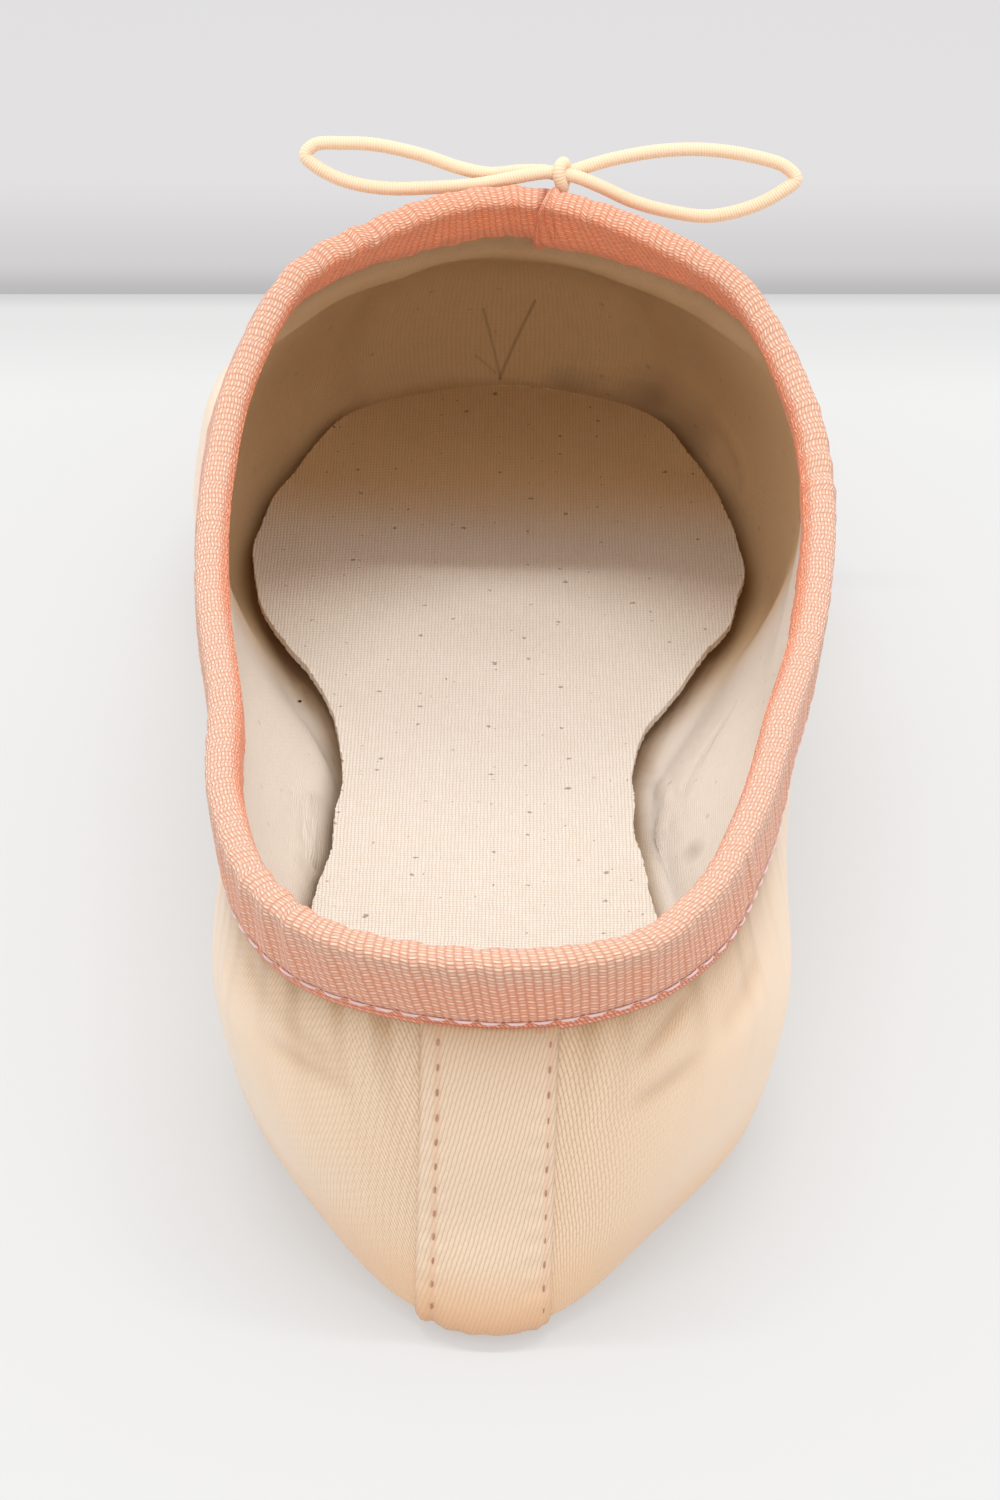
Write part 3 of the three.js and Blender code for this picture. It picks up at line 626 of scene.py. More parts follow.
def make_binding(shoe):
    """The tape, folded over the collar's edge with the drawstring inside it, and lapped over itself at the throat."""
    turns = tape_turns()
    wrapped = np.mod(turns, 1.0)
    last = Last(wrapped)
    far, height = tape_edge(last)
    outer_up = np.linspace(0, 1, OUTER_ROWS)[None, :] * (height - 0.3)
    # Near its end the tape reaches further down on the inside.
    joined = smooth(0.395, 0.402, wrapped) * (turns > 1) * smooth(0.478, 0.474, wrapped)
    inner_height = height - 1.3 + 0.45 * waves(far / 3, 54) + 1.1 * joined[:, None]
    lapped = smooth(1 + LAP * 0.35, 1 + LAP * 0.75, turns - JOIN_TURN)[:, None] * 0.5
    body = 0.26 + 0.68 * smooth(0.0, 2.4, outer_up) ** 0.8
    puckers, stitch = tape_relief(far, outer_up, turns)
    rise = 1 - (height - outer_up) / last.length[:, None]
    outside = last.offset(rise, body + (puckers + stitch) * shoe.crease + lapped)
    top = last.point([1.0])[:, 0]
    up = unit(top - last.point([1 - FINE])[:, 0])
    out = last.outward([1.0])[:, 0]
    angle = np.linspace(0, np.pi, CREST_ROWS)[None, 1:-1]
    power = 2 / 2.5
    crest_wave = 0.7 * tape_relief(far, np.array([[4.0]]), turns)[0]
    bend = np.sign(np.cos(angle)) * np.abs(np.cos(angle)) ** power
    across = -COLLAR_WALL / 2 + (1.64 + lapped + crest_wave * 0.6) * bend
    over = (1.1 + lapped + crest_wave * shoe.crease) * np.sin(angle) ** power
    crest = top[:, None] + out[:, None] * across[..., None] + up[:, None] * over[..., None]
    inner_down = np.linspace(0, 1, INNER_ROWS)[None, :] * inner_height
    rise_in = 1 - inner_down / last.length[:, None]
    wall = wall_at(wrapped[:, None], rise_in)
    inner_up = inner_height - inner_down
    flank = np.sin(2 * np.pi * wrapped)[:, None] ** 2
    thick = 0.3 + (0.62 + 0.5 * flank) * smooth(0.0, 2.6, inner_up)
    inner_puckers = 0.12 * waves(far * 0.8, 55) * smooth(2.2, 0.4, inner_up) + 0.12 * waves(far * 1.9, 56)
    inside = last.offset(rise_in, -wall - thick - lapped - inner_puckers * shoe.crease * smooth(0, 3, inner_down))
    near_in = last.offset(rise_in, -wall - 0.06 - lapped)[:, ::-1]
    near_over = top[:, None] + up[:, None] * (0.12 + lapped)[..., None]
    near_out = last.offset(rise, 0.06 + lapped)[:, ::-1]
    points = np.concatenate([outside, crest, inside, near_in, near_over, near_out, outside[:, :1]], axis=1)
    section = outside.shape[1] + crest.shape[1] + inside.shape[1]
    near = np.concatenate([near_out[:, ::-1], near_over.repeat(crest.shape[1], axis=1), near_in[:, ::-1]], axis=1)
    # Both ends close down on to the tape's under face.
    for row, share in ((0, 1.0), (1, 0.6), (2, 0.25), (-1, 1.0), (-2, 0.6), (-3, 0.25)):
        points[row, :section] += (near[row] - points[row, :section]) * share
        points[row, -1] = points[row, 0]
    slanted = smooth(1 + LAP - 0.03, 1 + LAP, turns - JOIN_TURN)
    along_it = unit(np.gradient(top, axis=0))
    slant = LAP_SLANT * np.cos(np.pi * np.minimum(1, np.arange(points.shape[1]) / section))
    points -= along_it[:, None] * (slanted[:, None] * slant[None, :])[..., None]
    # Painted shade along the tape's lapped end at the throat.
    shade = hump(turns - JOIN_TURN - LAP, 0.0035)[:, None] * np.ones(points.shape[:2])
    along = run(points[:, :section], 1)
    rest = points.shape[1] - section
    along = np.concatenate([along, np.linspace(1, 0, rest)[None, :] * along[:, -1:]], axis=1)
    cloth = np.stack([np.broadcast_to(far, along.shape), along], axis=-1)
    piece = grid_piece("binding", points, cloth, np.clip(shade, 0, 1))
    finish_piece(piece, tape_material(shoe), "tape", "binding", sharp=60)


def strip_points(across, drop, lift):
    """Points over the heel strip: across from its left edge and down from the tape, in millimetres."""
    rate = 2 * math.pi * math.sqrt(LINES["side"][2] * (LENGTH - LINES["side"][0]) / 2)
    across, drop, lift = np.broadcast_arrays(across, drop, lift)
    x = (STRIP_MIDDLE - STRIP_WIDTH / 2 + across).ravel()
    turn = x / rate
    for _ in range(5):
        last = Last(turn)
        rise = np.maximum(0.02, tape_start(last) - drop.ravel()[:, None] / last.length[:, None])
        turn = turn + (x - last.point(rise)[:, 0, 0]) / rate
    return last.offset(rise, lift.ravel()[:, None])[:, 0].reshape(x.size // across.shape[-1], -1, 3)


STRIP_LENGTH = 37.0
STRIP_STITCH = 2.9
STRIP_LINES = (1.9, STRIP_WIDTH - 0.9)
STRIP_OUT = (0, -0.97, 0.2)
# Each thread's diameter, how far its ends stand off the shoe, and how far it bows out between them.
TAPE_THREAD = (0.34, 0.74, 0.16)
STRIP_THREAD = (0.2, 0.70, 0.06)


def make_heel_strip(shoe):
    """The satin strip stitched down the back of the heel, with its edges folded under."""
    drop = np.linspace(-0.6, STRIP_LENGTH, STRIP_DOWN)[:, None]
    across = STRIP_WIDTH / 2 * (1 + across_steps(STRIP_ACROSS))
    edge = np.minimum(across, STRIP_WIDTH - across)
    fold = 0.2 + 0.75 * np.sqrt(np.clip(edge / 0.9, 0, 1)) - 0.1 * smooth(0.9, 2.4, edge)
    groove = sum(-0.22 * hump(across - line, 0.32) for line in STRIP_LINES)
    foot = 0.12 * smooth(STRIP_LENGTH - 7, STRIP_LENGTH - 1, drop) * waves(across * 1.7 + drop * 0.2, 61)
    swell = 0.07 * waves(drop / 2.2 + across / 5, 62) + 0.05 * np.cos(2 * np.pi * drop / STRIP_STITCH) * (edge < 3)
    top = fold + (groove + foot * smooth(0, 2, edge) + swell) * shoe.crease
    low = np.full_like(top, 0.06)
    for row, share in ((0, 1.0), (1, 0.4), (-1, 1.0), (-2, 0.4)):
        top[row] = top[row] + (low[row] - top[row]) * share
    across = looped(across, across)
    points = strip_points(across, drop, looped(top, low))
    cloth = np.stack(np.broadcast_arrays(across, drop), axis=-1)
    # Painted shade under the tape, at the strip's foot, and along its folded edges.
    shade = 0.9 * np.exp(-np.clip(drop, 0, None) / 3.8) + 0.4 * smooth(STRIP_LENGTH - 5, STRIP_LENGTH, drop)
    shade = shade + 0.5 * hump(across, 0.35) + 0.5 * hump(across - STRIP_WIDTH, 0.35)
    piece = grid_piece("heel_strip", points, cloth, np.clip(shade, 0, 1))
    finish_piece(piece, strip_material(shoe), "satin", "heel_strip")


def thread_piece(name, starts, ends, outs, diameter, rise):
    """Stitches: one short thread, modelled once, copied between pairs of points, and joined. Each bows outwards."""
    select()
    bpy.ops.mesh.primitive_uv_sphere_add(segments=8, ring_count=7, radius=0.5)
    model = bpy.context.object
    shape = read(model.data.vertices, "co") * 2
    long = np.sign(shape[:, 2]) * np.abs(shape[:, 2]) ** 0.6
    circle = shape[:, :2] / np.maximum(1e-6, np.linalg.norm(shape[:, :2], axis=1, keepdims=True))
    girth = np.sqrt(np.clip(1 - np.abs(long) ** 3.0, 0, 1))
    copies = []
    for start, end, out in zip(starts, ends, outs):
        axis = (end - start) / 2
        side = unit(np.cross(axis, out))
        wide = diameter / 2 * girth[:, None] * (circle[:, :1] * side + circle[:, 1:] * out * 0.8)
        bow = out * ((1 - long ** 2) * rise)[:, None]
        points = (start + end) / 2 + axis * long[:, None] + wide + bow
        copy = model.copy()
        copy.data = model.data.copy()
        copy.data.vertices.foreach_set("co", in_frame(points).ravel())
        bpy.context.collection.objects.link(copy)
        copies.append(copy)
    bpy.data.objects.remove(model)
    select(*copies)
    bpy.ops.object.join()
    piece = bpy.context.object
    piece.name = piece.data.name = name
    piece.data.uv_layers[0].name = "cloth"
    turn_outwards(piece.data)
    return piece


def make_tape_stitches(shoe):
    """The line of pink machine stitches just above the tape's lower edge."""
    turns = tape_turns(STITCH_TURNS)
    far, height = (row[:, 0] for row in tape_edge(Last(np.mod(turns, 1.0))))
    count = int(far[-1] / TAPE_STITCH)
    diameter, lift, bow = TAPE_THREAD
    ends = []
    for offset in (0.14, 0.86):
        place = (np.arange(count) + offset) * TAPE_STITCH
        turn = np.interp(place, far, turns)
        high = np.interp(place, far, height)
        last = Last(np.mod(turn, 1.0))
        rise = 1 - (high[:, None] - TAPE_STITCH_UP) / last.length[:, None]
        ends.append((last.offset(rise, lift)[:, 0], last.outward(rise)[:, 0]))
    piece = thread_piece("tape_stitches", ends[0][0], ends[1][0], ends[0][1], diameter, bow)
    finish_piece(piece, thread_material("tape thread", shoe.tape_thread), "tape")


def make_strip_stitches(shoe):
    """The two lines of small brown stitches that hold the heel strip."""
    diameter, lift, bow = STRIP_THREAD
    drop = np.arange(1.2, STRIP_LENGTH - 1, STRIP_STITCH)[:, None]
    starts, ends = [], []
    for line in STRIP_LINES:
        for places, aside, down in ((starts, 0, 0), (ends, -0.04, 0.85)):
            places.append(strip_points(np.full_like(drop, line + aside), drop + down, lift)[:, 0])
    starts, ends = np.concatenate(starts), np.concatenate(ends)
    outs = np.tile(STRIP_OUT, (len(starts), 1))
    piece = thread_piece("strip_stitches", starts, ends, outs, diameter, bow)
    finish_piece(piece, thread_material("strip thread", shoe.strip_thread), "satin")


# The wrap's ring, and the two loops' routes.
KNOT_STEPS, KNOT_DEEP, KNOT_HIGH = 73, 1.1, 1.62
LEFT_LOOP = [
    (6.2, 150.1, 62.9), (4.4, 150.1, 62.8), (1.2, 150.2, 62.1), (-3.5, 150.4, 60.9), (-9.2, 151.0, 60.0),
    (-15.5, 151.8, 59.4), (-20.2, 152.3, 60.0), (-23.8, 152.9, 61.5), (-25.3, 153.6, 62.8), (-24.2, 154.3, 63.9),
    (-20.4, 154.4, 64.2), (-16.5, 154.1, 64.2), (-10.8, 153.6, 63.2), (-6.0, 153.1, 61.8), (-2.3, 152.7, 61.3),
    (1.4, 152.3, 61.9), (4.4, 151.6, 62.3), (6.2, 150.9, 62.2),
]
RIGHT_LOOP = [
    (6.9, 150.1, 62.7), (8.8, 149.9, 62.3), (11.7, 150.1, 61.0), (15.6, 150.5, 59.0), (20.4, 151.0, 57.5),
    (25.2, 151.5, 56.8), (30.4, 152.1, 57.9), (34.0, 152.7, 59.7), (35.9, 153.5, 61.2), (34.6, 154.2, 62.5),
    (30.6, 154.2, 63.8), (24.8, 153.9, 64.7), (19.1, 153.3, 64.7), (13.1, 152.5, 63.8), (9.2, 151.8, 62.8),
    (7.0, 151.0, 62.3),
]


def tube_points(route, radius, upright=(0, 1.0, 0.1), sides=16):
    """Rings round a route, without twist, and closed to a point at both its ends."""
    along = unit(np.gradient(route, axis=0))
    side = unit(np.cross(along, upright))
    other = np.cross(side, along)
    angle = np.linspace(0, 2 * np.pi, sides + 1)
    rings = route[:, None] + radius * (
        side[:, None] * np.cos(angle)[None, :, None] + other[:, None] * np.sin(angle)[None, :, None])
    start, end = (np.repeat(tip[:, None], sides + 1, axis=1) for tip in (route[:1], route[-1:]))
    rings = np.concatenate([start, rings, end])
    far = run(route)
    cloth = np.stack(np.broadcast_arrays(np.pad(far, 1, "edge")[:, None], angle[None, :] * radius), axis=-1)
    return rings, cloth, float(far[-1])


def make_bow(shoe):
    """The drawstring's bow: two loops of elastic cord, and the knot's wrap between them."""
    material = cord_material(shoe)
    for name, route in (("bow_left_loop", LEFT_LOOP), ("bow_right_loop", RIGHT_LOOP)):
        line = spline(np.array([route]), ROUTE_STEPS)[0]
        rings, cloth, length = tube_points(line, CORD_DIAMETER / 2)
        piece = grid_piece(name, rings, cloth)
        finish_piece(piece, material, "elastic", name)
    angle = np.linspace(0, 2 * np.pi, KNOT_STEPS)
    lean = -0.45 * np.sin(angle) * np.clip(np.cos(angle), 0, 1)
    ring = np.stack([0.1 - 0.3 * np.cos(angle) + lean, -KNOT_DEEP * np.cos(angle), KNOT_HIGH * np.sin(angle)], axis=-1)
    ring += np.array(KNOT)
    rings, cloth, _ = tube_points(np.concatenate([ring[-2:-1], ring, ring[1:2]]), CORD_DIAMETER * 0.48, (1.0, -0.6, 0))
    rings[-3] = rings[2]
    knot = grid_piece("bow_knot", rings[2:-2], cloth[2:-2])
    finish_piece(knot, material, "elastic", "bow_knot")


# ---- Materials ----

def rgb(colour):
    return (*colour, 1.0)


def tinted(colour, times):
    return (*(min(1.0, c * t) for c, t in zip(colour, times)), 1.0)


def sum_of(operation, swapped=False):
    """A method that makes a maths node of a value and another one."""
    def method(self, other=0.0):
        return self.nodes.math(operation, *((other, self) if swapped else (self, other)))
    return method


class Value:
    """A value, colour or place in a shader. Sums with it make its maths nodes."""

    def __init__(self, nodes, socket):
        self.nodes, self.socket = nodes, socket

    __add__ = __radd__ = sum_of("ADD")
    __sub__, __rsub__ = sum_of("SUBTRACT"), sum_of("SUBTRACT", True)
    __mul__ = __rmul__ = sum_of("MULTIPLY")
    __truediv__, __mod__, __pow__ = sum_of("DIVIDE"), sum_of("MODULO"), sum_of("POWER")
    __abs__, floor, fraction = sum_of("ABSOLUTE"), sum_of("FLOOR"), sum_of("FRACT")
    sine, cosine = sum_of("SINE"), sum_of("COSINE")
    over, at_least = sum_of("GREATER_THAN"), sum_of("MAXIMUM")


class Nodes:
    """Short names for the shader nodes of one tree."""

    def __init__(self, tree):
        self.tree = tree

    def node(self, kind, inputs=None, **settings):
        node = self.tree.nodes.new(kind)
        for name, value in settings.items():
            setattr(node, name, value)
        for name, value in (inputs or {}).items():
            self.put(node.inputs[name], value)
        return node

    def add(self, kind, inputs=None, out=0, **settings):
        """A new node, given as one of its outputs."""
        return Value(self, self.node(kind, inputs, **settings).outputs[out])

    def put(self, socket, value):
        value = getattr(value, "socket", value)
        if isinstance(value, bpy.types.NodeSocket):
            self.tree.links.new(value, socket)
        else:
            socket.default_value = value

    def math(self, operation, a, b=0.0, clamp=False):
        return self.add("ShaderNodeMath", {0: a, 1: b}, operation=operation, use_clamp=clamp)

    def vector(self, operation, a, b, out=0):
        return self.add("ShaderNodeVectorMath", {0: a, 1: b}, out, operation=operation)

    def arches(self, value):
        """A row of arches, each one wide, that reach from 0 up to 1."""
        return abs((value * math.pi).sine())

    def span(self, value, low, high, to_low=0.0, to_high=1.0):
        """The value's way from low to high, smoothly, as a way from to_low to to_high."""
        inputs = {"Value": value, "From Min": low, "From Max": high, "To Min": to_low, "To Max": to_high}
        return self.add("ShaderNodeMapRange", inputs, "Result", interpolation_type="SMOOTHSTEP")

    def mix(self, factor, a, b, blend="MIX"):
        return self.add("ShaderNodeMix", {"Factor": factor, 6: a, 7: b}, 2, data_type="RGBA", blend_type=blend)

    def times(self, colour, other):
        return self.mix(1.0, colour, other if isinstance(other, Value) else rgb(other), "MULTIPLY")

    def noise(self, place, scale, detail=3.0, roughness=0.55, out="Fac"):
        inputs = {"Vector": place, "Scale": scale, "Detail": detail, "Roughness": roughness}
        return self.add("ShaderNodeTexNoise", inputs, out)

    def xyz(self, place):
        return [Value(self, socket) for socket in self.node("ShaderNodeSeparateXYZ", {0: place}).outputs]

    def flat(self, x, y):
        return self.add("ShaderNodeCombineXYZ", {0: x, 1: y})

    def scaled(self, place, x, y=None):
        return self.vector("MULTIPLY", place, (x, x if y is None else y, x))

    def warped(self, place, scale, amount):
        """A place moved about a little, so that threads waver."""
        moved = self.vector("SUBTRACT", self.noise(place, scale, 2.0, 0.5, "Color"), (0.5, 0.5, 0.5))
        return self.vector("ADD", place, self.scaled(moved, amount))

    def group(self, build, **values):
        """A use of one of the shader groups below, which is built at its first use."""
        label, inputs = GROUPS[build]
        tree = bpy.data.node_groups.get(label)
        if tree is None:
            tree = bpy.data.node_groups.new(label, "ShaderNodeTree")
            for name, value in inputs.items():
                kind = "NodeSocketVector" if value is None else "NodeSocketFloat"
                socket = tree.interface.new_socket(name=name, in_out="INPUT", socket_type=kind)
                if value is not None:
                    socket.default_value = value
            tree.interface.new_socket(name="Value", in_out="OUTPUT", socket_type="NodeSocketFloat")
            n = Nodes(tree)
            given = n.node("NodeGroupInput").outputs
            n.node("NodeGroupOutput", {"Value": build(n, *(Value(n, given[name]) for name in inputs))})
        return self.add("ShaderNodeGroup", values, node_tree=tree)


def weave(n, place):
    """Plain weave: threads that cross over and under one another. Place is in threads."""
    x, y, _ = n.xyz(place)
    odd = abs((x.floor() + y.floor()) % 2.0)
    across, along = n.arches(x), n.arches(y)
    warp, weft = across ** 0.6 * (0.45 + along * 0.55), along ** 0.6 * (0.45 + across * 0.55)
    return warp * odd + weft * (1.0 - odd)


def tape_weave(n, place, long, high):
    """The tape's weave: rows of long ovals, each row half a step from the next. Place and sizes are in millimetres."""
    x, y, _ = n.xyz(place)
    u, v = x / long, y / high
    odd = abs((u.floor() + v.floor()) % 2.0)
    wide, tall = n.arches(u), n.arches(v)
    oval, under = wide ** 0.5 * tall ** 0.7, (0.25 + tall * 0.2) * wide ** 0.5
    return oval * odd + under * (1.0 - odd)


def twill(n, place, slant, pitch, length):
    """Twill: slanting ribs, each broken into short floats. Place and the pitches are in millimetres."""
    x, y, _ = n.xyz(place)
    cos, sin = slant.cosine(), slant.sine()
    rib, along = (x * cos + y * sin) / pitch, y * cos - x * sin
    beat = n.arches(along / length + rib.floor() * 0.37)
    return n.arches(rib) ** 0.7 * (0.6 + beat * 0.4)


def streak(n, place, start, end, weight, width):
    """How near a place is to the line between two points, as 1 on it and 0 a width away. The weight says how much
    each direction counts, so that a line drawn just under the cloth still shows on it."""
    place, start, end = (n.vector("MULTIPLY", point, weight) for point in (place, start, end))
    axis, reach = n.vector("SUBTRACT", end, start), n.vector("SUBTRACT", place, start)
    along, whole = (n.vector("DOT_PRODUCT", line, axis, "Value") for line in (reach, axis))
    share = n.math("DIVIDE", along, whole, clamp=True)
    near = n.add("ShaderNodeVectorMath", {0: axis, "Scale": share}, operation="SCALE")
    return n.math("SUBTRACT", 1.0, n.vector("DISTANCE", reach, near, "Value") / width, clamp=True)


# Each group's name, and its inputs: None for a place, or else a number's default.
GROUPS = {
    weave: ("Plain weave", {"Place": None}),
    tape_weave: ("Tape weave", {"Place": None, "Long": 0.9, "High": 0.39}),
    twill: ("Twill", {"Place": None, "Slant": 0.7, "Pitch": 0.45, "Float": 0.9}),
    streak: ("Streak", {"Place": None, "Start": None, "End": None, "Weight": None, "Width": 0.001}),
}


class Material(Nodes):
    """The nodes of a new material, with the cloth's own millimetres and the place on the part."""

    def __init__(self, name):
        self.material = bpy.data.materials.new(name)
        self.material.use_nodes = True
        super().__init__(self.material.node_tree)
        self.cloth = self.add("ShaderNodeUVMap", uv_map="cloth")
        self.place = self.add("ShaderNodeTexCoord", out="Object")

    def slub(self, x, y):
        """The unevenness of threads, drawn out along one direction."""
        return self.noise(self.scaled(self.cloth, x, y), 1.0, 4.0)

    def tints(self, colour, base, *layers):
        """A colour with the base colour, tinted, laid over it layer by layer, each through its own mask."""
        for mask, times in layers:
            colour = self.mix(mask, colour, tinted(base, times))
        return colour

    def shaded(self, colour, deep):
        """The colour, darkened by the painted shade that the piece carries at each point."""
        shade = self.add("ShaderNodeAttribute", out="Fac", attribute_name="shade")
        return self.mix(shade, colour, self.times(colour, deep))

    def finish(self, colour, roughness, sheen=0.0, height=None, depth=0.0, **more):
        """Gives the shader its surface, raised by a height between 0 and 1 over a depth in metres."""
        inputs = {"Base Color": colour, "Roughness": roughness, "Sheen Weight": sheen}
        inputs.update((name.replace("_", " "), value) for name, value in more.items())
        if height is not None:
            inputs["Normal"] = self.add("ShaderNodeBump", {"Strength": 1.0, "Distance": depth, "Height": height})
        for name, value in inputs.items():
            self.put(self.tree.nodes["Principled BSDF"].inputs[name], value)
        return self.material


SATIN_TWILL = {"Pitch": 0.42, "Float": 1.6}


def satin_material(shoe):
    n = Material("satin cloth")
    x, y, z = n.xyz(n.place)
    v = n.xyz(n.cloth)[1]
    away = abs(x - SATIN_MIDDLE)
    wavering = n.warped(n.cloth, 0.15, 0.6)
    steep, lower = (n.group(twill, Place=wavering, Slant=slant, **SATIN_TWILL) for slant in (-0.3, 0.5))
    ribs = steep * n.span(away, 0.009, 0.019, 0.75, 0.25) + lower * n.span(away, 0.009, 0.019, 0.25, 0.75)
    slub = n.slub(0.25, 4.0)
    heel = n.span(y, -0.085, -0.06, 1.0, 0.0)
    plain = n.span(away, 0.007, 0.026, 0.9, 0.06).at_least(n.span(v, 9.0, 20.0, 0.7, 0.0))
    colour = n.tints(
        rgb(shoe.satin), shoe.satin,
        (n.span(n.noise(n.place, 28.0), 0.35, 0.65), (1.03, 0.99, 0.95)),
        (n.span(ribs, 0.2, 0.8, 1.0, 0.0) * (plain * heel), (0.74, 0.58, 0.42)),
        # painted warm shade low down, towards the floor
        (n.span(z, 0.002, 0.014, 0.85, 0.0), (0.97, 0.78, 0.6)))
    # Painted shade over the vamp, where the main light falls full on the satin.
    colour = n.mix(n.span(y, 0.03, 0.06), colour, n.times(colour, (0.78, 0.76, 0.74)))
    height = (ribs * 0.8 + slub * 0.2) * n.span(away, 0.008, 0.035, 1.0, 0.3)
    # With the painted shade that the upper carries at its points.
    return n.finish(n.shaded(colour, (0.55, 0.43, 0.3)), n.span(slub, 0.3, 0.7, 0.38, 0.5), 0.15, height,
                    0.00006 * shoe.weave, Anisotropic=0.5, Specular_IOR_Level=0.45)


def strip_material(shoe):
    n = Material("strip satin")
    u, z = n.xyz(n.cloth)[0], n.xyz(n.place)[2]
    ribs = n.group(twill, Place=n.warped(n.cloth, 0.3, 0.3), Slant=0.22, **SATIN_TWILL)
    colour = n.tints(
        tinted(shoe.satin, (0.99, 0.98, 0.98)), shoe.satin,
        (n.span(ribs, 0.1, 0.75, 0.85, 0.0), (0.82, 0.68, 0.55)),
        *((n.span(abs(u - line), 0.12, 0.5, 0.5, 0.0), (0.95, 0.78, 0.7)) for line in STRIP_LINES),
        # painted warm shade low down, towards the floor
        (n.span(z, 0.002, 0.012, 0.9, 0.0), (0.95, 0.7, 0.5)))
    # With the painted shade that the strip carries under the tape, at its foot and along its edges.
    return n.finish(n.shaded(colour, (0.66, 0.53, 0.42)), n.span(n.slub(0.3, 3.0), 0.3, 0.7, 0.42, 0.54), 0.15, ribs,
                    0.00005 * shoe.weave, Anisotropic=0.4)


def specks(n, scale, amount):
    """Seed specks: short dark flecks scattered over the canvas."""
    inputs = {"Vector": n.warped(n.cloth, 1.5, 0.9), "Scale": scale}
    cells = n.node("ShaderNodeTexVoronoi", inputs, voronoi_dimensions="2D").outputs
    chance, girth, _ = n.xyz(cells["Color"])
    away = Value(n, cells["Distance"]) / (0.45 + girth * 0.75)
    return n.span(away, SPECK / 2, SPECK, 1.0, 0.0) * chance.over(1 - amount)


def canvas_material(shoe, name, colour, pitch, deep, rib, depth, lines=()):
    """Canvas, with threads of a pitch, painted a warm brown shade deep in the box, with its specks and drawn lines."""
    n = Material(name)
    threads = n.group(weave, Place=n.scaled(n.warped(n.cloth, 0.6, 0.3), 1 / pitch))
    slub, cross = n.slub(0.35, 3.0), n.slub(3.0, 0.35)
    # Painted shade: the canvas turns warm brown deep in the box, over the span of y that deep gives.
    tone = n.mix(n.span(n.xyz(n.place)[1], *deep), rgb(colour), tinted(colour, (1.0, 0.8, 0.52)))
    tone = n.mix(n.span(threads, 0.1, 0.7, rib, 0.0), tone, n.times(tone, (0.72, 0.62, 0.5)))
    tone = n.mix(n.span(slub + cross, 0.8, 1.25) * 0.2, tone, n.times(tone, (0.84, 0.76, 0.62)))
    dark = specks(n, 0.22, 0.26).at_least(specks(n, 0.5, 0.12))
    tone = n.mix(dark * (0.25 if lines else 0.6), tone, (0.13, 0.08, 0.05, 1))
    # Drawn lines: painted shade along creases and in hollows, and other marks.
    for start, end, width, most, shade_and_mark_colour, weight in lines:
        start, end = ((Vector(point) + SHIFT) * MM for point in (start, end))
        mask = n.group(streak, Place=n.place, Start=start, End=end, Weight=weight, Width=width * MM)
        tone = n.mix(mask * most, tone, rgb(shade_and_mark_colour))
    # With the painted shade that the piece carries at its points.
    return n.finish(n.shaded(tone, (0.4, 0.3, 0.2)), 0.9, 0.1, threads * 0.7 + slub * 0.4, depth * shoe.weave)


def sock_material(shoe):
    return canvas_material(shoe, "sock canvas", shoe.canvas, 0.42, (0.052, 0.075), 0.8, 0.0002)


def lining_material(shoe):
    return canvas_material(shoe, "lining canvas", shoe.lining, 0.36, (0.012, 0.038), 0.4, 0.00009, LINING_STREAKS)


def tape_material(shoe):
    n = Material("cotton tape")
    u, v, _ = n.xyz(n.warped(n.cloth, 0.35, 0.35))
    ovals = n.group(tape_weave, Place=n.flat(u + v * 0.15, v))
    u, v, _ = n.xyz(n.cloth)
    rope = n.group(tape_weave, Place=n.flat(u + v * 0.7, v), Long=0.5, High=0.6)
    fibre = n.slub(1.2, 6.0)
    light = n.tints(
        rgb(shoe.tape), shoe.tape,
        (n.span(n.noise(n.place, 60.0), 0.4, 0.65), (1.03, 0.95, 0.9)),
        # painted highlight: the crest paler, as where the light falls on it
        (n.span(v, 5.5, 8.5), (0.93, 1.14, 1.26)),
        # painted warm shade round the throat
        (n.span(n.xyz(n.place)[1], 0.024, 0.042, 0.0, 0.85), (1.0, 0.92, 0.85)),
        # painted warm shade on the inner face
        (n.span(v, 11.0, 13.0, 0.0, 0.9), (1.18, 0.7, 0.42)))
    colour = n.mix(n.span(ovals, 0.1, 0.7, 0.8, 0.0), light, n.times(light, (0.7, 0.42, 0.32)))
    colour = n.tints(
        colour, shoe.tape,
        # painted highlights on the ovals, stronger on the outer face
        (n.span(ovals, 0.65, 0.95) * n.span(v, 11.0, 13.0, 0.6, 0.15), (1.15, 1.5, 1.8)),
        (n.span(fibre, 0.45, 0.75) * 0.2, (1.1, 1.15, 1.2)))
    edge = n.span(v, 1.15, 1.3, 1.0, 0.0)
    edging = n.mix(n.span(rope, 0.1, 0.8), tinted(shoe.tape, (0.75, 0.3, 0.2)), tinted(shoe.tape, (1.08, 0.92, 0.8)))
    # Painted shade in the stitch holes.
    from_hole = abs((u / TAPE_STITCH + 0.5).fraction() - 0.5)
    beside = abs(v - (TAPE_STITCH_UP + 0.05))
    hole = n.span(from_hole, 0.05, 0.12, 1.0, 0.0) * n.span(beside, 0.1, 0.3, 1.0, 0.0)
    colour = n.tints(n.mix(edge, colour, edging), shoe.tape, (hole * 0.8, (0.35, 0.12, 0.08)))
    height = n.mix(edge, ovals, rope) * 0.85 + fibre * 0.15
    # With the painted shade that the tape carries at its lapped end.
    return n.finish(n.shaded(colour, (0.55, 0.32, 0.25)), 0.7, 0.2, height, 0.00024 * shoe.weave)


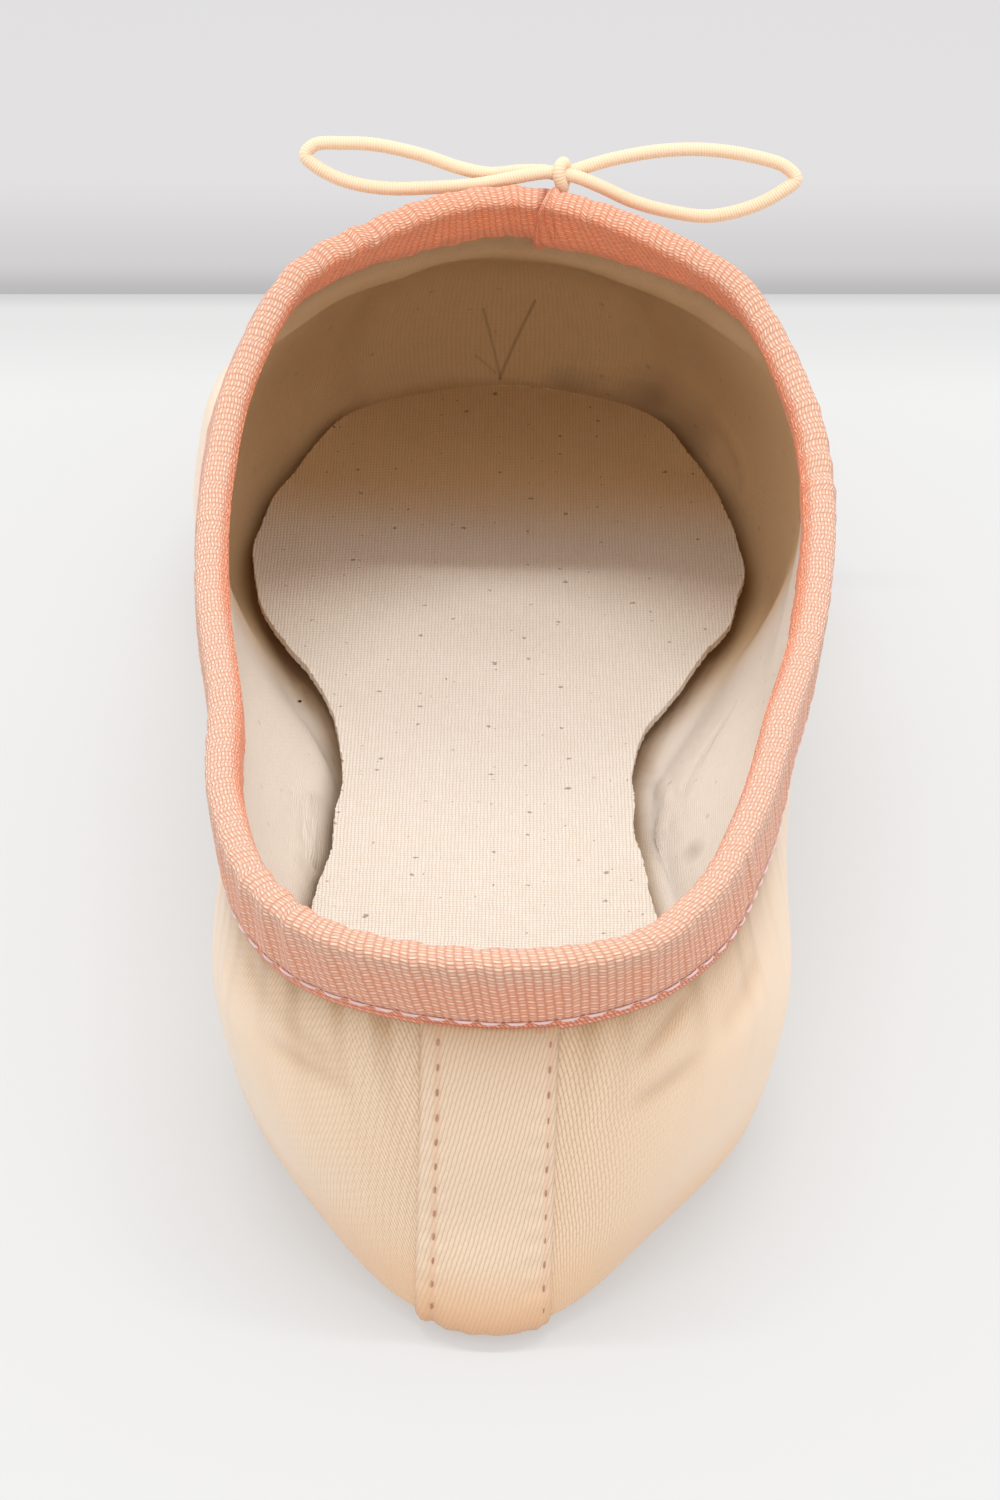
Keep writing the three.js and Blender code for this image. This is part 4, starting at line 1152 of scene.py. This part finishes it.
def cord_material(shoe):
    n = Material("elastic cord")
    u, v, _ = n.xyz(n.cloth)
    rib = n.arches(u / 0.34 + v / (math.pi * CORD_DIAMETER))
    colour = n.mix(n.span(rib, 0.1, 0.7, 0.35, 0.0), rgb(shoe.cord), tinted(shoe.cord, (0.84, 0.72, 0.6)))
    return n.finish(colour, 0.7, 0.2, rib, 0.00004 * shoe.weave)


def thread_material(name, colour):
    n = Material(name)
    return n.finish(n.mix(n.noise(n.place, 1400.0), rgb(colour), tinted(colour, (0.75, 0.7, 0.7))), 0.6, 0.2)


def leather_material(shoe):
    n = Material("sole leather")
    rubbed = n.noise(n.place, 26.0, 4.0)
    colour = n.mix(n.span(rubbed, 0.4, 0.65), rgb(shoe.leather), tinted(shoe.leather, (0.86, 0.8, 0.74)))
    return n.finish(colour, n.span(rubbed, 0.4, 0.65, 0.85, 0.7), 0.0, n.noise(n.place, 900.0, 5.0), 0.0002)


def floor_material(stage):
    """A pale floor that glows a little, a painted light that keeps the shadows on it pale, with painted shade far back
    where the foot of a studio sweep would be.
    """
    n = Material("floor")
    x, y, _ = n.xyz(n.place)
    # Painted shade where a sweep's foot would be: darker just before the line, darkest beyond it, and lighter again
    # farther back.
    back = y - x * stage.sweep_slant - stage.sweep
    near = n.span(back, -0.036, -0.006, 1.0, 0.90) * n.span(back, -0.006, 0.0, 1.0, 0.84)
    beyond = n.span(back, 0.0, 0.012, 0.56, 0.72) * n.span(back, 0.008, 0.045, 1.0, 1.19)
    near, beyond = (n.add("ShaderNodeCombineColor", {0: grey, 1: grey, 2: grey}) for grey in (near, beyond))
    tone = n.mix(back.over(0.0), near, n.times(beyond, (1.0, 0.982, 0.991)))
    # The lamps give only a share of the floor's brightness; the rest is its painted glow.
    return n.finish(n.times(tone, [stage.floor * stage.shade] * 3), 0.9, Specular_IOR_Level=0.0,
                    Emission_Color=n.times(tone, [stage.floor_shows * (1 - stage.shade)] * 3), Emission_Strength=1.0)


# ---- Camera, floor and light ----

CAMERA_AIM = Vector((0.359, 74.93, 25.0))
KEY_AIM = Vector((0, 148, 58))
FLOOR_SIZE, FLOOR_DROP = 3.0, 0.0002


def make_camera(stage):
    """The photo's camera: above the heel, looking along the shoe towards its toe, and rolled a little."""
    aim = CAMERA_AIM + SHIFT
    high, side, roll = stage.camera_height, stage.camera_side, stage.camera_roll
    back = Vector((math.sin(side) * math.cos(high), -math.cos(side) * math.cos(high), math.sin(high)))
    right = (-back).cross(Vector((0, 0, 1))).normalized()
    up = right.cross(-back)
    across = right * math.cos(roll) + up * math.sin(roll)
    upright = up * math.cos(roll) - right * math.sin(roll)
    select()
    bpy.ops.object.camera_add()
    camera = bpy.context.object
    camera.name = "camera"
    camera.matrix_world = Matrix((across, upright, back)).transposed().to_4x4()
    camera.location = (aim + back * stage.camera_away / MM) * MM
    camera.data.sensor_fit = "HORIZONTAL"
    camera.data.sensor_width = 36
    camera.data.lens = stage.lens
    camera.data.clip_start = 0.01
    bpy.context.scene.camera = camera


def make_floor(stage):
    select()
    bpy.ops.mesh.primitive_plane_add(size=FLOOR_SIZE, location=(0, 0, -FLOOR_DROP))
    floor = bpy.context.object
    floor.name = "floor"
    floor.data.uv_layers[0].name = "cloth"
    floor.data.materials.append(floor_material(stage))


def make_lights(stage):
    """One strip light high over the throat, tilted towards the heel, and an even light from all round."""
    select()
    over = (KEY_AIM + SHIFT) * MM
    way = Vector((0, -math.sin(stage.key_tilt), math.cos(stage.key_tilt)))
    bpy.ops.object.light_add(type="AREA", location=over + way * stage.key_away, rotation=(stage.key_tilt, 0, 0))
    key = bpy.context.object
    key.name = "key light"
    key.data.shape = "RECTANGLE"
    key.data.size = stage.key_wide
    key.data.size_y = stage.key_deep
    key.data.energy = stage.key_power
    world = bpy.data.worlds.new("studio")
    world.use_nodes = True
    background = world.node_tree.nodes["Background"].inputs
    background["Color"].default_value = (1, 1, 1, 1)
    background["Strength"].default_value = stage.fill
    bpy.context.scene.world = world
    bpy.context.scene.view_settings.view_transform = "Standard"


# ---- The add-on ----

def colour_of(name, description, default):
    return FloatVectorProperty(name=name, description=description, subtype="COLOR", size=3, min=0, max=1,
                               default=default)


def number(name, description, default, unit="NONE", **limits):
    return FloatProperty(name=name, description=description, default=default, unit=unit, **limits)


class PointeShoeSettings(bpy.types.PropertyGroup):
    satin: colour_of("Satin", "Colour of the satin outer and of the heel strip", (0.845, 0.665, 0.495))
    canvas: colour_of("Sock", "Colour of the canvas sock", (0.90, 0.83, 0.75))
    lining: colour_of("Lining", "Colour of the canvas lining", (0.82, 0.74, 0.655))
    tape: colour_of("Tape", "Colour of the tape round the collar", (0.86, 0.455, 0.30))
    cord: colour_of("Cord", "Colour of the elastic bow", (0.87, 0.65, 0.45))
    leather: colour_of("Leather", "Colour of the sole", (0.58, 0.44, 0.31))
    tape_thread: colour_of("Tape thread", "Colour of the stitches on the tape", (0.86, 0.64, 0.63))
    strip_thread: colour_of("Strip thread", "Colour of the stitches on the heel strip", (0.52, 0.26, 0.16))
    crease: number("Creases", "Depth of the creases and puckers", 1, min=0, max=2)
    weave: number("Weave", "Depth of the cloths' threads", 1, min=0, max=3)


class PointeStageSettings(bpy.types.PropertyGroup):
    camera_height: number("Camera height", "Angle over the floor", 0.5532, "ROTATION")
    camera_side: number("Camera side", "Angle round the shoe from the heel", -0.0072, "ROTATION")
    camera_roll: number("Camera roll", "Turn of the picture", 0.0271, "ROTATION")
    camera_away: number("Camera distance", "From the camera to the shoe", 0.5, "LENGTH")
    lens: number("Lens", "Focal length in millimetres", 158.1, min=10)
    floor: number("Floor", "How much light the floor sends back", 0.59, min=0, max=1)
    # The floor is lit partly by the lamps and partly by its own painted glow: shade is the lamps' share.
    shade: number("Shade", "How much of the floor's brightness a shadow takes away", 0.5, min=0, max=1)
    floor_shows: number("Floor shows", "The open floor's brightness in the picture", 0.871, min=0)
    # The sweep is only painted on the flat floor; these place the line where its painted shade begins.
    sweep: number("Sweep", "Where the floor begins to rise behind the shoe", 0.1418, "LENGTH")
    sweep_slant: number("Sweep slant", "Slope of that line against the shoe's own width", 0.0548)
    key_power: number("Key light", "Power of the main light", 5.3, "POWER", min=0)
    key_away: number("Key distance", "From the main light to the shoe", 1.0, "LENGTH")
    key_wide: number("Key width", "Width of the main light, across the shoe", 0.7, "LENGTH")
    key_deep: number("Key depth", "Size of the main light along the shoe", 0.03, "LENGTH")
    key_tilt: number("Key tilt", "Tilt of the main light towards the heel", 0.12, "ROTATION")
    fill: number("Fill", "Strength of the even light", 1.15, min=0)


class PieceOperator(bpy.types.Operator):
    """Builds some of the shoe's pieces"""
    bl_idname = "pointe.piece"
    bl_label = "Piece"
    makers = ()

    def execute(self, context):
        for maker in self.makers:
            maker(context.scene.pointe_shoe)
        return {"FINISHED"}


class POINTE_OT_bow(PieceOperator):
    """Builds the elastic cord's bow and its knot"""
    bl_idname = "pointe.bow"
    bl_label = "Bow"
    makers = (make_bow,)


class POINTE_OT_upper(PieceOperator):
    """Builds the satin outer"""
    bl_idname = "pointe.upper"
    bl_label = "Satin outer"
    makers = (make_upper,)


class POINTE_OT_canvas(PieceOperator):
    """Builds the canvas lining and the sock"""
    bl_idname = "pointe.canvas"
    bl_label = "Lining and sock"
    makers = (make_lining, make_insole)


class POINTE_OT_outsole(PieceOperator):
    """Builds the leather sole"""
    bl_idname = "pointe.outsole"
    bl_label = "Sole"
    makers = (make_outsole,)


class POINTE_OT_binding(PieceOperator):
    """Builds the folded tape round the collar and its stitches"""
    bl_idname = "pointe.binding"
    bl_label = "Collar tape"
    makers = (make_binding, make_tape_stitches)


class POINTE_OT_heel_strip(PieceOperator):
    """Builds the satin strip down the heel and its stitches"""
    bl_idname = "pointe.heel_strip"
    bl_label = "Heel strip"
    makers = (make_heel_strip, make_strip_stitches)


class POINTE_OT_stage(bpy.types.Operator):
    """Sets the camera, the floor and the lights"""
    bl_idname = "pointe.stage"
    bl_label = "Camera, floor and light"

    def execute(self, context):
        stage = context.scene.pointe_stage
        make_camera(stage)
        make_floor(stage)
        make_lights(stage)
        return {"FINISHED"}


OPERATORS = (POINTE_OT_stage, POINTE_OT_bow, POINTE_OT_upper, POINTE_OT_canvas, POINTE_OT_outsole,
             POINTE_OT_binding, POINTE_OT_heel_strip)


class POINTE_PT_panel(bpy.types.Panel):
    """Lists the settings and the pieces"""
    bl_idname = "POINTE_PT_panel"
    bl_label = "Pointe shoe"
    bl_space_type = "VIEW_3D"
    bl_region_type = "UI"
    bl_category = "Pointe shoe"

    def draw(self, context):
        for settings in (context.scene.pointe_shoe, context.scene.pointe_stage):
            box = self.layout.box()
            for name in settings.__annotations__:
                box.prop(settings, name)
        for operator in OPERATORS:
            self.layout.operator(operator.bl_idname)


CLASSES = (PointeShoeSettings, PointeStageSettings, *OPERATORS, POINTE_PT_panel)


def register():
    for cls in CLASSES:
        bpy.utils.register_class(cls)
    bpy.types.Scene.pointe_shoe = PointerProperty(type=PointeShoeSettings)
    bpy.types.Scene.pointe_stage = PointerProperty(type=PointeStageSettings)


def unregister():
    del bpy.types.Scene.pointe_stage
    del bpy.types.Scene.pointe_shoe
    for cls in reversed(CLASSES):
        bpy.utils.unregister_class(cls)


def main():
    register()
    for operator in OPERATORS:
        group, name = operator.bl_idname.split(".")
        getattr(getattr(bpy.ops, group), name)()


if __name__ == "__main__":
    main()
